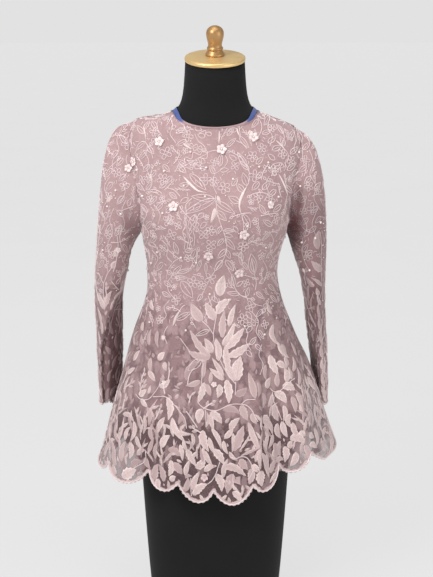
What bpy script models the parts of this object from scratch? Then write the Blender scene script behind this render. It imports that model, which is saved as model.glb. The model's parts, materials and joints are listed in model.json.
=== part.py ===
"""A long-sleeved kebaya blouse with a flared, scalloped peplum, worn by a limbless dress form.

Frame: metres, +Z up, the origin on the floor under the form's middle, +X to the blouse's left
side as worn seen from the front, and the front facing -Y. Tables are in millimetres.

Every piece of cloth is a sheet of points on one body surface, or on a sleeve that grows out of
it, thickened outwards by a Solidify modifier. Angles run round the body: 0 at +X, -90 at the
centre front, 180 at -X and 90 at the centre back.
"""

import math

import bmesh
import bpy
from mathutils import Matrix, Vector

MM = 0.001

# ---- Driving sizes, in millimetres ----
CLOTH = 1.2             # net and its embroidery, laid on its lining above the waist
SEAM_GAP = 0.3
NECK_SIDE_Z = 986       # neckline at the shoulder seams
NECK_FRONT_Z = 962
NECK_BACK_Z = 984
SHOULDER_TIP_Z = 959    # armhole's top
UNDERARM_Z = 752
WAIST_Z = 640
SCALLOP_DEPTH = 28
LAST_BAND = 46          # plain depth of cloth over the scallop tips
LINING_HEM_Z = 414
LINING_TOP_Z = 610
ZIP_END_Z = 540
ZIP_WIDTH = 2.8
NECK_TILT = math.radians(12)
NECK_TOP_Z = 1082

SCALLOP_COLUMNS = 4     # columns of cloth to one scallop
HEM_POINTS = 2          # hem points to one column

# Rows of the body, as counts of steps
STEPS_SHOULDER = 4
STEPS_ARMHOLE = 10
STEPS_RIBS = 4
STEPS_PEPLUM = 9

# Notches between the hem's scallops, as angles round the body
FRONT_NOTCHES = (-180, -150, -123, -106, -90.5, -74.5, -60, -42, 0)
BACK_NOTCHES = (90, 117, 145, 180)     # and the same on the other half

# How low the scallops hang
HEM_TIPS = (
    # angle, z
    (-180, 290),
    (-140, 283),
    (-115, 290),
    (-98, 265),
    (-82, 261),
    (-67, 291),
    (-51, 311),
    (-21, 313),
    (0, 309),
    (45, 294),
    (90, 282),
    (135, 286),
    (180, 290),
)

# The form's sections: height, half width, front and back depth, and how square the oval is
FORM_SECTIONS = (
    # z, half_width, front, back, square
    (0, 134, 96, 98, 2.2),
    (150, 144, 103, 106, 2.2),
    (300, 152, 108, 114, 2.2),
    (400, 155, 109, 118, 2.2),
    (480, 149, 104, 112, 2.2),
    (560, 131, 95, 96, 2.2),
    (620, 116.5, 88, 82, 2.2),
    (660, 113, 86, 77, 2.2),
    (700, 116, 91, 79, 2.25),
    (745, 127, 107, 86, 2.4),
    (785, 139, 119, 92, 2.5),
    (820, 149, 114, 98, 2.4),
    (860, 159, 99, 101, 2.25),
    (900, 164.5, 82, 96, 2.1),
    (930, 160.5, 69, 85, 2.0),
    (942, 154.5, 65, 79, 2.0),
    (950, 147.5, 63, 75, 2.0),
    (957, 140, 61, 72, 2.0),
    (964, 129, 59, 68.5, 2.0),
    (975, 106.3, 57, 64, 2.0),
    (985, 82.1, 55, 60, 2.0),
    (993, 71.2, 54, 57, 2.0),
    (1003, 65.1, 53, 55, 2.0),
    (1020, 60.5, 52.5, 53.5, 2.0),
    (1045, 57.5, 52.5, 52.5, 2.0),
    (1082, 56, 52.5, 52.5, 2.0),
)

# The blouse's inner face: the same heights near the shoulders, so that it lies evenly there.
# Below the arms the cloth stands off more at -X.
BLOUSE_SECTIONS = (
    # z, half_width at -X, half_width at +X, front, back, square
    (230, 240, 248, 176, 168, 2.05),
    (290, 230, 240, 167, 161, 2.05),
    (318, 223.5, 236, 163, 158, 2.05),
    (344, 217, 229, 159, 155, 2.05),
    (370, 211, 222, 155, 152, 2.1),
    (396, 204.5, 211, 150, 148, 2.1),
    (435, 194, 200, 143, 143, 2.1),
    (472, 183, 189, 135, 137, 2.15),
    (498, 175, 179, 129, 131, 2.2),
    (523, 168.5, 168.5, 123, 126, 2.2),
    (548, 162, 156, 117, 119, 2.2),
    (573, 153.5, 147.5, 110, 111, 2.2),
    (597, 143.5, 137, 103, 103, 2.2),
    (622, 133, 127, 97, 93, 2.2),
    (646, 129, 122.5, 93, 87, 2.2),
    (671, 130, 118.6, 92, 85, 2.2),
    (700, 131, 120.5, 96, 86, 2.25),
    (745, 139, 133, 112, 92, 2.4),
    (785, 145, 143, 123.5, 97, 2.5),
    (820, 152, 152, 117.5, 101, 2.4),
    (860, 161.6, 161.6, 101.2, 103.4, 2.25),
    (900, 168.8, 168.8, 84.4, 98.4, 2.1),
    (930, 170, 170, 72.6, 88.6, 2.0),
    (942, 167.2, 167.2, 68.6, 82.6, 2.0),
    (950, 160, 160, 66.2, 78.6, 2.0),
    (957, 151.3, 151.3, 64.1, 75, 2.0),
    (964, 137.5, 137.5, 62.1, 71.5, 2.0),
    (975, 109.3, 109.3, 59.4, 66.3, 2.0),
    (985, 84.6, 84.6, 57.2, 62.2, 2.0),
    (993, 73.4, 73.4, 56, 59, 2.0),
    (1003, 67, 67, 54.8, 56.8, 2.0),
    (1020, 62.6, 62.6, 54, 55, 2.0),
)

# The cloth rides up over the -X shoulder: how far, and from where
SHOULDER_LIFT = 13
LIFT_FROM_X = 92
LIFT_FULL_X = 150
LIFT_FROM_Z = 850
LIFT_FULL_Z = 950

# Soft flutes of the peplum: where they stand, how wide, and how far out at the hem.
# The two hollows just behind the side seams are where the sleeves hang.
FLUTES = (
    # angle, half_width, height
    (-112, 14, 15),
    (-70, 14, 15),
    (-91, 10, -9),
    (-146, 13, 15),
    (-37, 13, 16),
    (-129, 8, -12),
    (-53, 8, -12),
    (-176, 12, 10),
    (-6, 12, 10),
    (-161, 8, -8),
    (-21, 8, -8),
    (161, 19, -19),
    (19, 19, -19),
    (136, 13, 14),
    (44, 13, 14),
    (90, 12, 9),
    (103, 8, -11),
    (77, 8, -11),
    (117, 12, 12),
    (63, 12, 12),
)
FLUTE_TOP_Z = 632

# Armhole: half angles of its front and back edges at mid height
ARMHOLE_FRONT = 25
ARMHOLE_BACK = 27

# Sleeves below the armpit: how far their middles lie out from the body's and how far back, and
# how hard the front and back edges are pressed (1 is round)
SLEEVE_LEFT = (
    # z, out, back, half_width, half_depth, pressed
    (712, 199, 6, 34, 54, 1.0),
    (672, 205, 9, 31.5, 52, 1.1),
    (628, 211.5, 14, 27.5, 50, 1.25),
    (585, 212, 20, 27, 49, 1.4),
    (540, 212.5, 27, 26.5, 48, 1.5),
    (495, 213, 34, 26, 47, 1.5),
    (450, 214.5, 41, 24, 46, 1.5),
    (412, 215.5, 47, 23, 45, 1.5),
)
SLEEVE_RIGHT = (
    # z, out, back, half_width, half_depth, pressed
    (712, 185, 6, 32, 54, 1.0),
    (672, 192, 9, 25, 53, 1.1),
    (628, 196.5, 14, 20.5, 52, 1.25),
    (585, 200, 21, 19.5, 51, 1.4),
    (540, 204.5, 29, 19.5, 50, 1.5),
    (495, 210.5, 37, 17, 49, 1.5),
    (450, 214.5, 44, 16, 48, 1.5),
    (412, 216.5, 50, 15, 47, 1.5),
)
# How a sleeve's head runs from the armhole to the arm: its slope as it leaves, in degrees down,
# and how full its curve is at the start and the end. Each is given at the shoulder and underarm.
HEAD_LEFT = {"slope": (-16, 58), "leave": (0.65, 0.7), "arrive": (2.2, 0.9)}
HEAD_RIGHT = {"slope": (-12, 60), "leave": (0.8, 0.7), "arrive": (0.2, 0.8)}
SLEEVE_CAP_STEPS = 8
CUFF_Z = 412
CUFF_DEPTH = 20
CUFF_SCALLOPS = 2

# Material colours
DUSTY_ROSE = (0.62, 0.43, 0.42, 1)
LINING_ROSE = (0.52, 0.34, 0.34, 1)
BINDING_BLUE = (0.06, 0.10, 0.36, 1)
JERSEY_BLACK = (0.02, 0.02, 0.021, 1)
GILT = (0.62, 0.42, 0.16, 1)
ZIP_ROSE = (0.55, 0.38, 0.38, 1)


# ---- Tools ----

def smooth_lookup(table, height):
    """The table's columns at a height, on a smooth curve through its rows."""
    rows = sorted(table)
    height = min(max(height, rows[0][0]), rows[-1][0])
    place = 0
    while place < len(rows) - 2 and rows[place + 1][0] < height:
        place += 1
    here, there = rows[place], rows[place + 1]
    before = rows[max(place - 1, 0)]
    after = rows[min(place + 2, len(rows) - 1)]
    span = there[0] - here[0]
    part = (height - here[0]) / span
    found = []
    for low, start, end, high in zip(before[1:], here[1:], there[1:], after[1:]):
        leave = (end - low) / (there[0] - before[0]) * span
        arrive = (high - start) / (after[0] - here[0]) * span
        found.append(
            start * (2 * part**3 - 3 * part**2 + 1)
            + leave * (part**3 - 2 * part**2 + part)
            + end * (3 * part**2 - 2 * part**3)
            + arrive * (part**3 - part**2)
        )
    return found


def power(value, exponent):
    return math.copysign(abs(value) ** exponent, value)


def oval(angle, half_width, front, back, square):
    """A point of an oval section, in the plane."""
    turn = math.radians(angle)
    depth = front if math.sin(turn) < 0 else back
    along = 2 / square
    return half_width * power(math.cos(turn), along), depth * power(math.sin(turn), along)


def mix(first, second, part):
    return first + (second - first) * part


def ease(part):
    part = min(max(part, 0), 1)
    return part * part * (3 - 2 * part)


def material(name, colour, roughness, metallic=0.0):
    made = bpy.data.materials.new(name)
    made.use_nodes = True
    shader = made.node_tree.nodes["Principled BSDF"]
    shader.inputs["Base Color"].default_value = colour
    shader.inputs["Roughness"].default_value = roughness
    shader.inputs["Metallic"].default_value = metallic
    made.diffuse_color = colour
    return made


def add_object(name, mesh, finish):
    made = bpy.data.objects.new(name, mesh)
    made.data.materials.append(finish)
    bpy.context.collection.objects.link(made)
    return made


def add_solidify(obj, thickness):
    wall = obj.modifiers.new("wall", "SOLIDIFY")
    wall.thickness = thickness * MM
    wall.offset = 1
    wall.use_rim = True
    return wall


def sheet(name, rows, finish, thickness=CLOTH, closed=False, flip=False):
    """A wall on rows of points. A row may have more points than the one before it."""
    shape = bmesh.new()
    lines = [[shape.verts.new(point * MM) for point in row] for row in rows]
    for upper, lower in zip(lines, lines[1:]):
        cells = len(upper) if closed else len(upper) - 1
        share = (len(lower) if closed else len(lower) - 1) // cells
        for cell in range(cells):
            corners = [upper[cell], upper[(cell + 1) % len(upper)]]
            first = cell * share
            corners += [lower[k % len(lower)] for k in range(first + share, first - 1, -1)]
            shape.faces.new(corners if flip else corners[::-1])
    mesh = bpy.data.meshes.new(name)
    shape.to_mesh(mesh)
    shape.free()
    mesh.shade_smooth()
    made = add_object(name, mesh, finish)
    add_solidify(made, thickness)
    return made


def turned(name, profile, steps, finish):
    """A closed solid turned about Z. The profile runs from the axis to the axis."""
    shape = bmesh.new()
    points = [shape.verts.new((radius * MM, 0, height * MM)) for radius, height in profile]
    edges = [shape.edges.new(pair) for pair in zip(points, points[1:])]
    bmesh.ops.spin(
        shape, geom=points + edges, cent=(0, 0, 0), axis=(0, 0, 1),
        angle=2 * math.pi, steps=steps, use_duplicate=False,
    )
    bmesh.ops.remove_doubles(shape, verts=shape.verts, dist=0.00002)
    bmesh.ops.recalc_face_normals(shape, faces=shape.faces)
    mesh = bpy.data.meshes.new(name)
    shape.to_mesh(mesh)
    shape.free()
    mesh.shade_smooth()
    mesh.set_sharp_from_angle(angle=math.radians(40))
    return add_object(name, mesh, finish)


# ---- Body surface ----

def flute_height(angle):
    total = 0
    for centre, half_width, height in FLUTES:
        away = (angle - centre + 180) % 360 - 180
        if abs(away) < 2 * half_width:
            total += height * (0.5 + 0.5 * math.cos(math.pi * away / (2 * half_width)))
    return total


def body_point(angle, height, out=0.0):
    """A point of the blouse's inner face, moved out by so many millimetres in plan."""
    left, right, front, back, square = smooth_lookup(BLOUSE_SECTIONS, height)
    half_width = left if math.cos(math.radians(angle)) < 0 else right
    fullness = ease((FLUTE_TOP_Z - height) / (FLUTE_TOP_Z - HEM_TIPS[0][1]))
    x, y = oval(angle, half_width, front, back, square)
    push = fullness * flute_height(angle) + out
    length = math.hypot(x, y)
    x, y = x * (1 + push / length), y * (1 + push / length)
    across = ease((-x - LIFT_FROM_X) / (LIFT_FULL_X - LIFT_FROM_X))
    above = ease((height - LIFT_FROM_Z) / (LIFT_FULL_Z - LIFT_FROM_Z))
    return Vector((x, y, height + SHOULDER_LIFT * across * above))


def centre_share(angle):
    """0 at the side seams, 1 at the centre front and back."""
    return abs(math.sin(math.radians(angle)))


def neckline_z(angle):
    centre = NECK_FRONT_Z if math.sin(math.radians(angle)) < 0 else NECK_BACK_Z
    return mix(NECK_SIDE_Z, centre, centre_share(angle) ** 3)


def hem_tip_z(angle):
    return smooth_lookup(HEM_TIPS, (angle + 180) % 360 - 180)[0]


FIRST_ARMHOLE_ROW = STEPS_SHOULDER
LAST_ARMHOLE_ROW = STEPS_SHOULDER + STEPS_ARMHOLE
WAIST_ROW = LAST_ARMHOLE_ROW + STEPS_RIBS
LAST_ROW = WAIST_ROW + STEPS_PEPLUM


def row_z(row, angle):
    """Height of a row of the body at an angle: rows slope from the shoulders to the chest."""
    if row >= WAIST_ROW:
        part = (row - WAIST_ROW) / STEPS_PEPLUM
        return mix(WAIST_Z, hem_tip_z(angle) + LAST_BAND, part)
    if row >= LAST_ARMHOLE_ROW:
        return mix(UNDERARM_Z, WAIST_Z, (row - LAST_ARMHOLE_ROW) / STEPS_RIBS)
    if row >= FIRST_ARMHOLE_ROW:
        part = (row - FIRST_ARMHOLE_ROW) / STEPS_ARMHOLE
        side = mix(SHOULDER_TIP_Z, UNDERARM_Z, part**1.25)
    else:
        side = mix(NECK_SIDE_Z, SHOULDER_TIP_Z, (row / STEPS_SHOULDER) ** 1.15)
    middle = NECK_FRONT_Z if math.sin(math.radians(angle)) < 0 else NECK_BACK_Z
    if row == 0:
        return neckline_z(angle)
    centre = mix(middle, UNDERARM_Z, row / LAST_ARMHOLE_ROW)
    return mix(side, centre, centre_share(angle))


def armhole_angle(row, widest):
    """How far from the side seam the armhole's edge lies in a row."""
    part = (row - FIRST_ARMHOLE_ROW) / STEPS_ARMHOLE * 2 - 1
    if abs(part) >= 1:
        return 0.0
    return widest * math.sqrt(1 - part * part)


def seam_shift(row, angle, gap):
    """The angle that stands for a gap, in millimetres, along the surface in a row."""
    step = 0.5
    z = row_z(row, angle)
    reach = (body_point(angle + step, z) - body_point(angle - step, z)).length
    return gap / reach * 2 * step


def split(notches, parts):
    """The notches' angles, with each scallop's width split into equal parts."""
    angles = []
    for low, high in zip(notches, notches[1:]):
        angles += [mix(low, high, k / parts) for k in range(parts)]
    return angles + [notches[-1]]


def fitted(row, angles, start, end, start_gap, end_gap):
    """Angles drawn in from their own ends to a row's ends, less a gap at each."""
    start += seam_shift(row, start, start_gap)
    end -= seam_shift(row, end, end_gap)
    first, last = angles[0], angles[-1]
    return [mix(start, end, (angle - first) / (last - first)) for angle in angles]


def panel(name, notches, holes, gaps, finish):
    """A panel of the body. holes: half angle of the armhole at its start and end, or None.
    gaps: half of the space left at its start and end, each a function of the row."""
    columns = split(notches, SCALLOP_COLUMNS)
    rows = []
    for row in range(LAST_ROW + 1):
        start, end = columns[0], columns[-1]
        if holes[0]:
            start += armhole_angle(row, holes[0])
        if holes[1]:
            end -= armhole_angle(row, holes[1])
        angles = fitted(row, columns, start, end, gaps[0](row), gaps[1](row))
        rows.append([body_point(angle, row_z(row, angle)) for angle in angles])
    hem = split(notches, SCALLOP_COLUMNS * HEM_POINTS)
    angles = fitted(LAST_ROW, hem, hem[0], hem[-1], gaps[0](LAST_ROW), gaps[1](LAST_ROW))
    pitch = SCALLOP_COLUMNS * HEM_POINTS
    edge = []
    for k, angle in enumerate(angles):
        lift = SCALLOP_DEPTH * (1 - abs(math.sin(math.pi * k / pitch)) ** 0.7)
        edge.append(body_point(angle, hem_tip_z(angle) + lift))
    rows.append(edge)
    return sheet(name, rows, finish)


def seam_gap(row):
    return SEAM_GAP / 2


def zip_gap(row):
    """Half the space left for the zip between the back panels."""
    above_end = row_z(row, 90) > ZIP_END_Z
    return ZIP_WIDTH / 2 + SEAM_GAP if above_end else SEAM_GAP / 2


def build_panels(finish):
    panel("front", FRONT_NOTCHES, (ARMHOLE_FRONT, ARMHOLE_FRONT), (seam_gap, seam_gap), finish)
    panel("back_left", BACK_NOTCHES, (None, ARMHOLE_BACK), (zip_gap, seam_gap), finish)
    mirrored = [180 - angle for angle in reversed(BACK_NOTCHES)]
    panel("back_right", mirrored, (ARMHOLE_BACK, None), (seam_gap, zip_gap), finish)


def build_lining(finish):
    """The lining's skirt, which shows through the net: a plain tube inside the peplum."""
    steps = 5
    columns = 48
    inside = CLOTH + 0.5
    rows = []
    for step in range(steps + 1):
        z = mix(LINING_TOP_Z, LINING_HEM_Z, step / steps)
        drop = mix(inside, 16, ease(step / steps))
        angles = [360 * k / columns - 180 for k in range(columns)]
        rows.append([body_point(angle, z, -drop) for angle in angles])
    return sheet("lining_skirt", rows, finish, thickness=1.0, closed=True)


def build_neck_binding(finish):
    """A bias strip that rises inside the neckline, widest at the shoulder seams."""
    columns = 48
    low, high = [], []
    for k in range(columns):
        angle = 360 * k / columns - 180
        front = math.sin(math.radians(angle)) < 0
        width = mix(12, 2.5 if front else 8, centre_share(angle))
        edge = neckline_z(angle)
        low.append(body_point(angle, edge + 0.5))
        high.append(body_point(angle, edge + 0.5 + width))
    return sheet("neck_binding", [high, low], finish, thickness=1.0, closed=True)


# ---- Zip ----

def build_zip_chain(finish):
    half = ZIP_WIDTH / 2
    rows = []
    for row in range(LAST_ROW + 1):
        z = row_z(row, 90)
        if z <= ZIP_END_Z:
            break
        spot = body_point(90, z)
        rows.append([spot + Vector((x, 0, 0)) for x in (half, 0, -half)])
    return sheet("zip_chain", rows, finish, thickness=1.4)


def cylinder_x(name, radius, length, centre, sides=16):
    shape = bmesh.new()
    bmesh.ops.create_cone(
        shape, cap_ends=True, segments=sides, radius1=radius * MM, radius2=radius * MM,
        depth=length * MM, matrix=Matrix.Translation(Vector(centre) * MM) @ Matrix.Rotation(math.pi / 2, 4, "Y"),
    )
    mesh = bpy.data.meshes.new(name)
    shape.to_mesh(mesh)
    shape.free()
    made = bpy.data.objects.new(name, mesh)
    bpy.context.collection.objects.link(made)
    made.hide_render = True
    made.display_type = "WIRE"
    return made


def block(name, size, centre, bevel=0.0):
    shape = bmesh.new()
    place = Matrix.Translation(Vector(centre) * MM) @ Matrix.Diagonal((*(s * MM for s in size), 1))
    bmesh.ops.create_cube(shape, size=1, matrix=place)
    if bevel:
        bmesh.ops.bevel(shape, geom=shape.edges[:], offset=bevel * MM, segments=2, affect="EDGES", profile=0.5)
    mesh = bpy.data.meshes.new(name)
    shape.to_mesh(mesh)
    shape.free()
    made = bpy.data.objects.new(name, mesh)
    bpy.context.collection.objects.link(made)
    return made


def boolean(obj, other, operation):
    cut = obj.modifiers.new(other.name, "BOOLEAN")
    cut.operation = operation
    cut.object = other
    other.hide_render = True
    other.display_type = "WIRE"
    other.parent = obj
    return cut


PULL_AXIS_HEIGHT = 3.4   # over the chain's outer face
PULL_LENGTH = 21
PULL_PIN_RADIUS = 0.6


def pull_place():
    """The slider's frame at the top of the zip: x across, y out of the cloth, z up the back."""
    top = body_point(90, NECK_BACK_Z - 9)
    low = body_point(90, NECK_BACK_Z - 9 - PULL_LENGTH)
    up = (top - low).normalized()
    across = Vector((1, 0, 0))
    out = up.cross(across).normalized()
    place = Matrix((across, out, up)).transposed().to_4x4()
    place.translation = (top + out * 1.8) * MM
    return place


def build_slider(finish):
    """Slider body, with two ears that hold the pull's pin."""
    body = block("zip_slider", (4.6, 1.6, 9), (0, 0.8, 0), bevel=0.5)
    body.data.materials.append(finish)
    for side in (-1, 1):
        ear = block(f"ear{side}", (0.9, 4.2, 3.2), (side * 1.75, 2.9, 1.5), bevel=0.25)
        boolean(body, ear, "UNION")
    pin = cylinder_x("pin", PULL_PIN_RADIUS, 4.0, (0, PULL_AXIS_HEIGHT, 1.5), sides=12)
    boolean(body, pin, "UNION")
    body.matrix_world = pull_place()
    return body


def build_pull(finish):
    """The pull tab, its origin on the pin's axis, lying down the back."""
    shape = bmesh.new()
    outline = []
    for k in range(13):
        turn = math.pi * k / 12
        outline.append((2.6 * math.cos(turn), -PULL_LENGTH + 2.6 - 2.6 * math.sin(turn)))
    outline += [(-1.0, -3.2), (-1.0, -0.8), (1.0, -0.8), (1.0, -3.2)]
    thick = 1.1
    front = [shape.verts.new((x * MM, thick / 2 * MM, z * MM)) for x, z in outline]
    face = shape.faces.new(front)
    grown = bmesh.ops.extrude_face_region(shape, geom=[face])
    moved = [v for v in grown["geom"] if isinstance(v, bmesh.types.BMVert)]
    bmesh.ops.translate(shape, vec=(0, -thick * MM, 0), verts=moved)
    bmesh.ops.recalc_face_normals(shape, faces=shape.faces)
    mesh = bpy.data.meshes.new("zip_pull")
    shape.to_mesh(mesh)
    shape.free()
    pull = add_object("zip_pull", mesh, finish)
    knuckle = cylinder_x("knuckle", 1.6, 2.0, (0, 0, 0), sides=16)
    bore = cylinder_x("bore", PULL_PIN_RADIUS + 0.35, 6, (0, 0, 0), sides=12)
    boolean(pull, knuckle, "UNION")
    boolean(pull, bore, "DIFFERENCE")
    place = pull_place()
    place.translation = place @ (Vector((0, PULL_AXIS_HEIGHT, 1.5)) * MM)
    pull.matrix_world = place
    return pull


# ---- Sleeves ----

def body_normal(angle, z):
    step, rise = 1.0, 2.0
    across = body_point(angle + step, z) - body_point(angle - step, z)
    up = body_point(angle, z + rise) - body_point(angle, z - rise)
    return across.cross(up).normalized()


def armhole_loop(side, head):
    """Places round an armhole, from the shoulder down the front and up the back.

    side is 1 for +X and -1 for -X. Each is a point of the sleeve's inner face and how far down
    the loop it lies, from 0 at the shoulder, where the sleeve butts the body's edge, to 1 under
    the arm, where it laps over that edge, and the way the sleeve leaves the body there.
    """
    rows = list(range(FIRST_ARMHOLE_ROW, LAST_ARMHOLE_ROW + 1))
    stops = [(row, -armhole_angle(row, ARMHOLE_FRONT)) for row in rows]
    stops += [(row, armhole_angle(row, ARMHOLE_BACK)) for row in rows[-2:0:-1]]
    loop = []
    for row, angle in stops:
        down = (row - FIRST_ARMHOLE_ROW) / STEPS_ARMHOLE
        turn = angle if side > 0 else 180 - angle
        z = row_z(row, turn)
        slant = math.radians(mix(*head["slope"], down))
        leave = Vector((side * math.cos(slant), 0, -math.sin(slant)))
        lap = mix(0.5, 1.8, ease(down / 0.8))
        past = mix(1.4, 0.2, down)
        point = body_point(turn, z) + body_normal(turn, z) * lap + leave * past
        loop.append((point, down, leave))
    return loop


def sleeve_ring(table, z, side, count):
    """A ring of the hanging sleeve, its points matched to the armhole's."""
    out, back, half_width, half_depth, pressed = smooth_lookup(table, z)
    points = []
    for k in range(count):
        angle = math.radians(-360 * k / count)
        x = half_width * power(math.cos(angle), pressed)
        y = half_depth * math.sin(angle)
        points.append(Vector((side * (out + x), back + y, z)))
    return points


def build_sleeve(name, side, table, head, finish):
    loop = armhole_loop(side, head)
    count = len(loop)
    heights = sorted((row[0] for row in table), reverse=True)
    arm = sleeve_ring(table, heights[0], side, count)
    below = sleeve_ring(table, heights[0] - 12, side, count)
    rows = []
    for step in range(SLEEVE_CAP_STEPS + 1):
        part = step / SLEEVE_CAP_STEPS
        row = []
        for (start, down, way), end, further in zip(loop, arm, below):
            reach = (end - start).length
            leave = way * reach * mix(*head["leave"], down)
            arrive = (further - end).normalized() * reach * mix(*head["arrive"], down)
            row.append(
                start * (2 * part**3 - 3 * part**2 + 1)
                + leave * (part**3 - 2 * part**2 + part)
                + end * (3 * part**2 - 2 * part**3)
                + arrive * (part**3 - part**2)
            )
        rows.append(row)
    rows += [sleeve_ring(table, z, side, count) for z in heights[1:]]
    edge = []
    for k, point in enumerate(sleeve_ring(table, CUFF_Z, side, count)):
        wave = abs(math.cos(math.pi * CUFF_SCALLOPS * k / count)) ** 0.8
        edge.append(point - Vector((0, 0, CUFF_DEPTH * (0.4 + 0.6 * wave))))
    rows.append(edge)
    return sheet(name, rows, finish, closed=True, flip=side < 0)


# ---- Dress form ----

def build_form(finish):
    """The torso and neck in one closed shell, its top slanted to the front."""
    columns = 40
    heights = (
        0, 4, 100, 200, 300, 380, 450, 510, 560, 605, 650, 700, 745, 785, 820,
        855, 885, 910, 930, 942, 950, 957, 966, 975, 985, 995, 1008, 1030, NECK_TOP_Z,
    )
    shape = bmesh.new()
    rings = []
    for z in heights:
        half_width, front, back, square = smooth_lookup(FORM_SECTIONS, z)
        inset = 3 if z == 0 else 0
        lean = ease((z - 1000) / (NECK_TOP_Z - 1000)) * math.tan(NECK_TILT)
        ring = []
        for k in range(columns):
            x, y = oval(360 * k / columns, half_width - inset, front - inset, back - inset, square)
            ring.append(shape.verts.new(Vector((x, y, z + y * lean)) * MM))
        rings.append(ring)
    for lower, upper in zip(rings, rings[1:]):
        for k in range(columns):
            following = (k + 1) % columns
            shape.faces.new((lower[k], lower[following], upper[following], upper[k]))
    shape.faces.new(rings[0][::-1])
    shape.faces.new(rings[-1])
    mesh = bpy.data.meshes.new("form_torso")
    shape.to_mesh(mesh)
    shape.free()
    mesh.shade_smooth()
    mesh.set_sharp_from_angle(angle=math.radians(50))
    return add_object("form_torso", mesh, finish)


CAP_RADIUS = 57


def seat(obj, lift):
    """Stands a turned piece on the neck's slanted top."""
    normal = Vector((0, -math.sin(NECK_TILT), math.cos(NECK_TILT)))
    obj.rotation_euler = (NECK_TILT, 0, 0)
    obj.location = (Vector((0, 0, NECK_TOP_Z)) + normal * lift) * MM
    return obj


def build_cap(finish):
    """A thin turned disc with a rounded rim, its top just domed."""
    rim = ((CAP_RADIUS - 1, 0), (CAP_RADIUS, 1.2), (CAP_RADIUS, 4.6), (CAP_RADIUS - 1.4, 6.4))
    profile = ((0, 0), *rim, (CAP_RADIUS - 5, 7.4), (40, 8.6), (22, 9.4), (0, CAP_HEIGHT))
    return seat(turned("neck_cap", profile, 36, finish), SEAM_GAP)


CAP_HEIGHT = 9.4


def build_finial(finish):
    profile = (
        # radius, height
        (0, 0), (17.4, 0), (18, 2), (17, 4.6), (14.8, 7.6), (13.8, 9.8), (14.8, 11.6),
        (15.2, 13.4), (14, 15.4), (12.9, 18), (13.4, 23.6), (15, 30), (16.3, 36.6), (16.2, 43.2),
        (14, 48.6), (9.8, 52.4), (4.8, 54.6), (0, 55.2),
    )
    return seat(turned("cap_finial", profile, 20, finish), SEAM_GAP * 2 + CAP_HEIGHT)


def main():
    for obj in list(bpy.data.objects):
        bpy.data.objects.remove(obj)
    lace = material("embroidered_net", DUSTY_ROSE, 0.75)
    lining = material("lining", LINING_ROSE, 0.6)
    binding = material("binding", BINDING_BLUE, 0.6)
    jersey = material("jersey", JERSEY_BLACK, 0.85)
    gilt = material("gilt", GILT, 0.3, 1.0)
    zip_finish = material("zip", ZIP_ROSE, 0.45)
    build_panels(lace)
    build_sleeve("sleeve_left", -1, SLEEVE_LEFT, HEAD_LEFT, lace)
    build_sleeve("sleeve_right", 1, SLEEVE_RIGHT, HEAD_RIGHT, lace)
    build_lining(lining)
    build_neck_binding(binding)
    build_zip_chain(zip_finish)
    build_slider(zip_finish)
    build_pull(zip_finish)
    build_form(jersey)
    build_cap(gilt)
    build_finial(gilt)


main()
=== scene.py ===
# Kebaya blouse on its dress form: the cloth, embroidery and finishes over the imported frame
import json
import math
import random

import bmesh
import bpy
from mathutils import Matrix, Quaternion, Vector, noise
from mathutils.bvhtree import BVHTree
from mathutils.kdtree import KDTree

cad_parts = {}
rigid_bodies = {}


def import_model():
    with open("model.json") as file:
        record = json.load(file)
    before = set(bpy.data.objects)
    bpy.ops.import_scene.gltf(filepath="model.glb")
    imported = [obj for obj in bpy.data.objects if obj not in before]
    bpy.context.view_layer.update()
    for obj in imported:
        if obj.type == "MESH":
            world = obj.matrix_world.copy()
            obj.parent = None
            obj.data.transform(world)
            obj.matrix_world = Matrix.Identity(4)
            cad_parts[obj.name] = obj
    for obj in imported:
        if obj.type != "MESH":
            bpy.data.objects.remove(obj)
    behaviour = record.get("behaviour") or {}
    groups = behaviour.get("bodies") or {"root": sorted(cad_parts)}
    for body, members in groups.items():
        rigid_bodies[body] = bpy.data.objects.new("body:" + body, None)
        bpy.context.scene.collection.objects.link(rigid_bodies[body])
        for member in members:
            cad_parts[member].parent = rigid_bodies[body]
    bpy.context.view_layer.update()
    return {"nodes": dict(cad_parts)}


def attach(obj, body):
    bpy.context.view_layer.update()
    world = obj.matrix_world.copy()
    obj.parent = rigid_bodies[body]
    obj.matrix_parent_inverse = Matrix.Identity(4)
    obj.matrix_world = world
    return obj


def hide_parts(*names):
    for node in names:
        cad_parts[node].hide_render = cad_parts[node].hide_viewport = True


for spare in list(bpy.data.objects):  # an empty room
    bpy.data.objects.remove(spare)
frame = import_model()
mm = 0.001
waist = 640  # its height in millimetres, as all heights below
zAxis = Vector((0, 0, 1))
backSheets = ("back_left", "back_right")
bodySheets = ("front",) + backSheets
sleeveSheets = ("sleeve_left", "sleeve_right")
netSheets = bodySheets + sleeveSheets
print("frame loaded")

cameraPlace = {"spot": (0.0028, -2.15, 1.1952), "tiltDown": 14.45, "lens": 70.38, "sensor": 36}
turnDown = math.radians(90 - cameraPlace["tiltDown"])
bpy.ops.object.camera_add(location=cameraPlace["spot"], rotation=(turnDown, 0, 0))
camera = bpy.context.object
camera.data.lens = cameraPlace["lens"]
camera.data.sensor_width = cameraPlace["sensor"]
bpy.context.scene.camera = camera


def pick(*objects):  # these alone are selected, the first one active
    if bpy.context.mode != "OBJECT":
        bpy.ops.object.mode_set(mode="OBJECT")
    bpy.ops.object.select_all(action="DESELECT")
    for obj in objects:
        obj.select_set(True)
    bpy.context.view_layer.objects.active = objects[0]


def editAll(obj, kind="VERT"):  # into edit mode with all of it selected
    pick(obj)
    bpy.ops.object.mode_set(mode="EDIT")
    bpy.ops.mesh.select_mode(type=kind)
    bpy.ops.mesh.select_all(action="SELECT")


def leaveEdit():
    bpy.ops.object.mode_set(mode="OBJECT")


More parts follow.
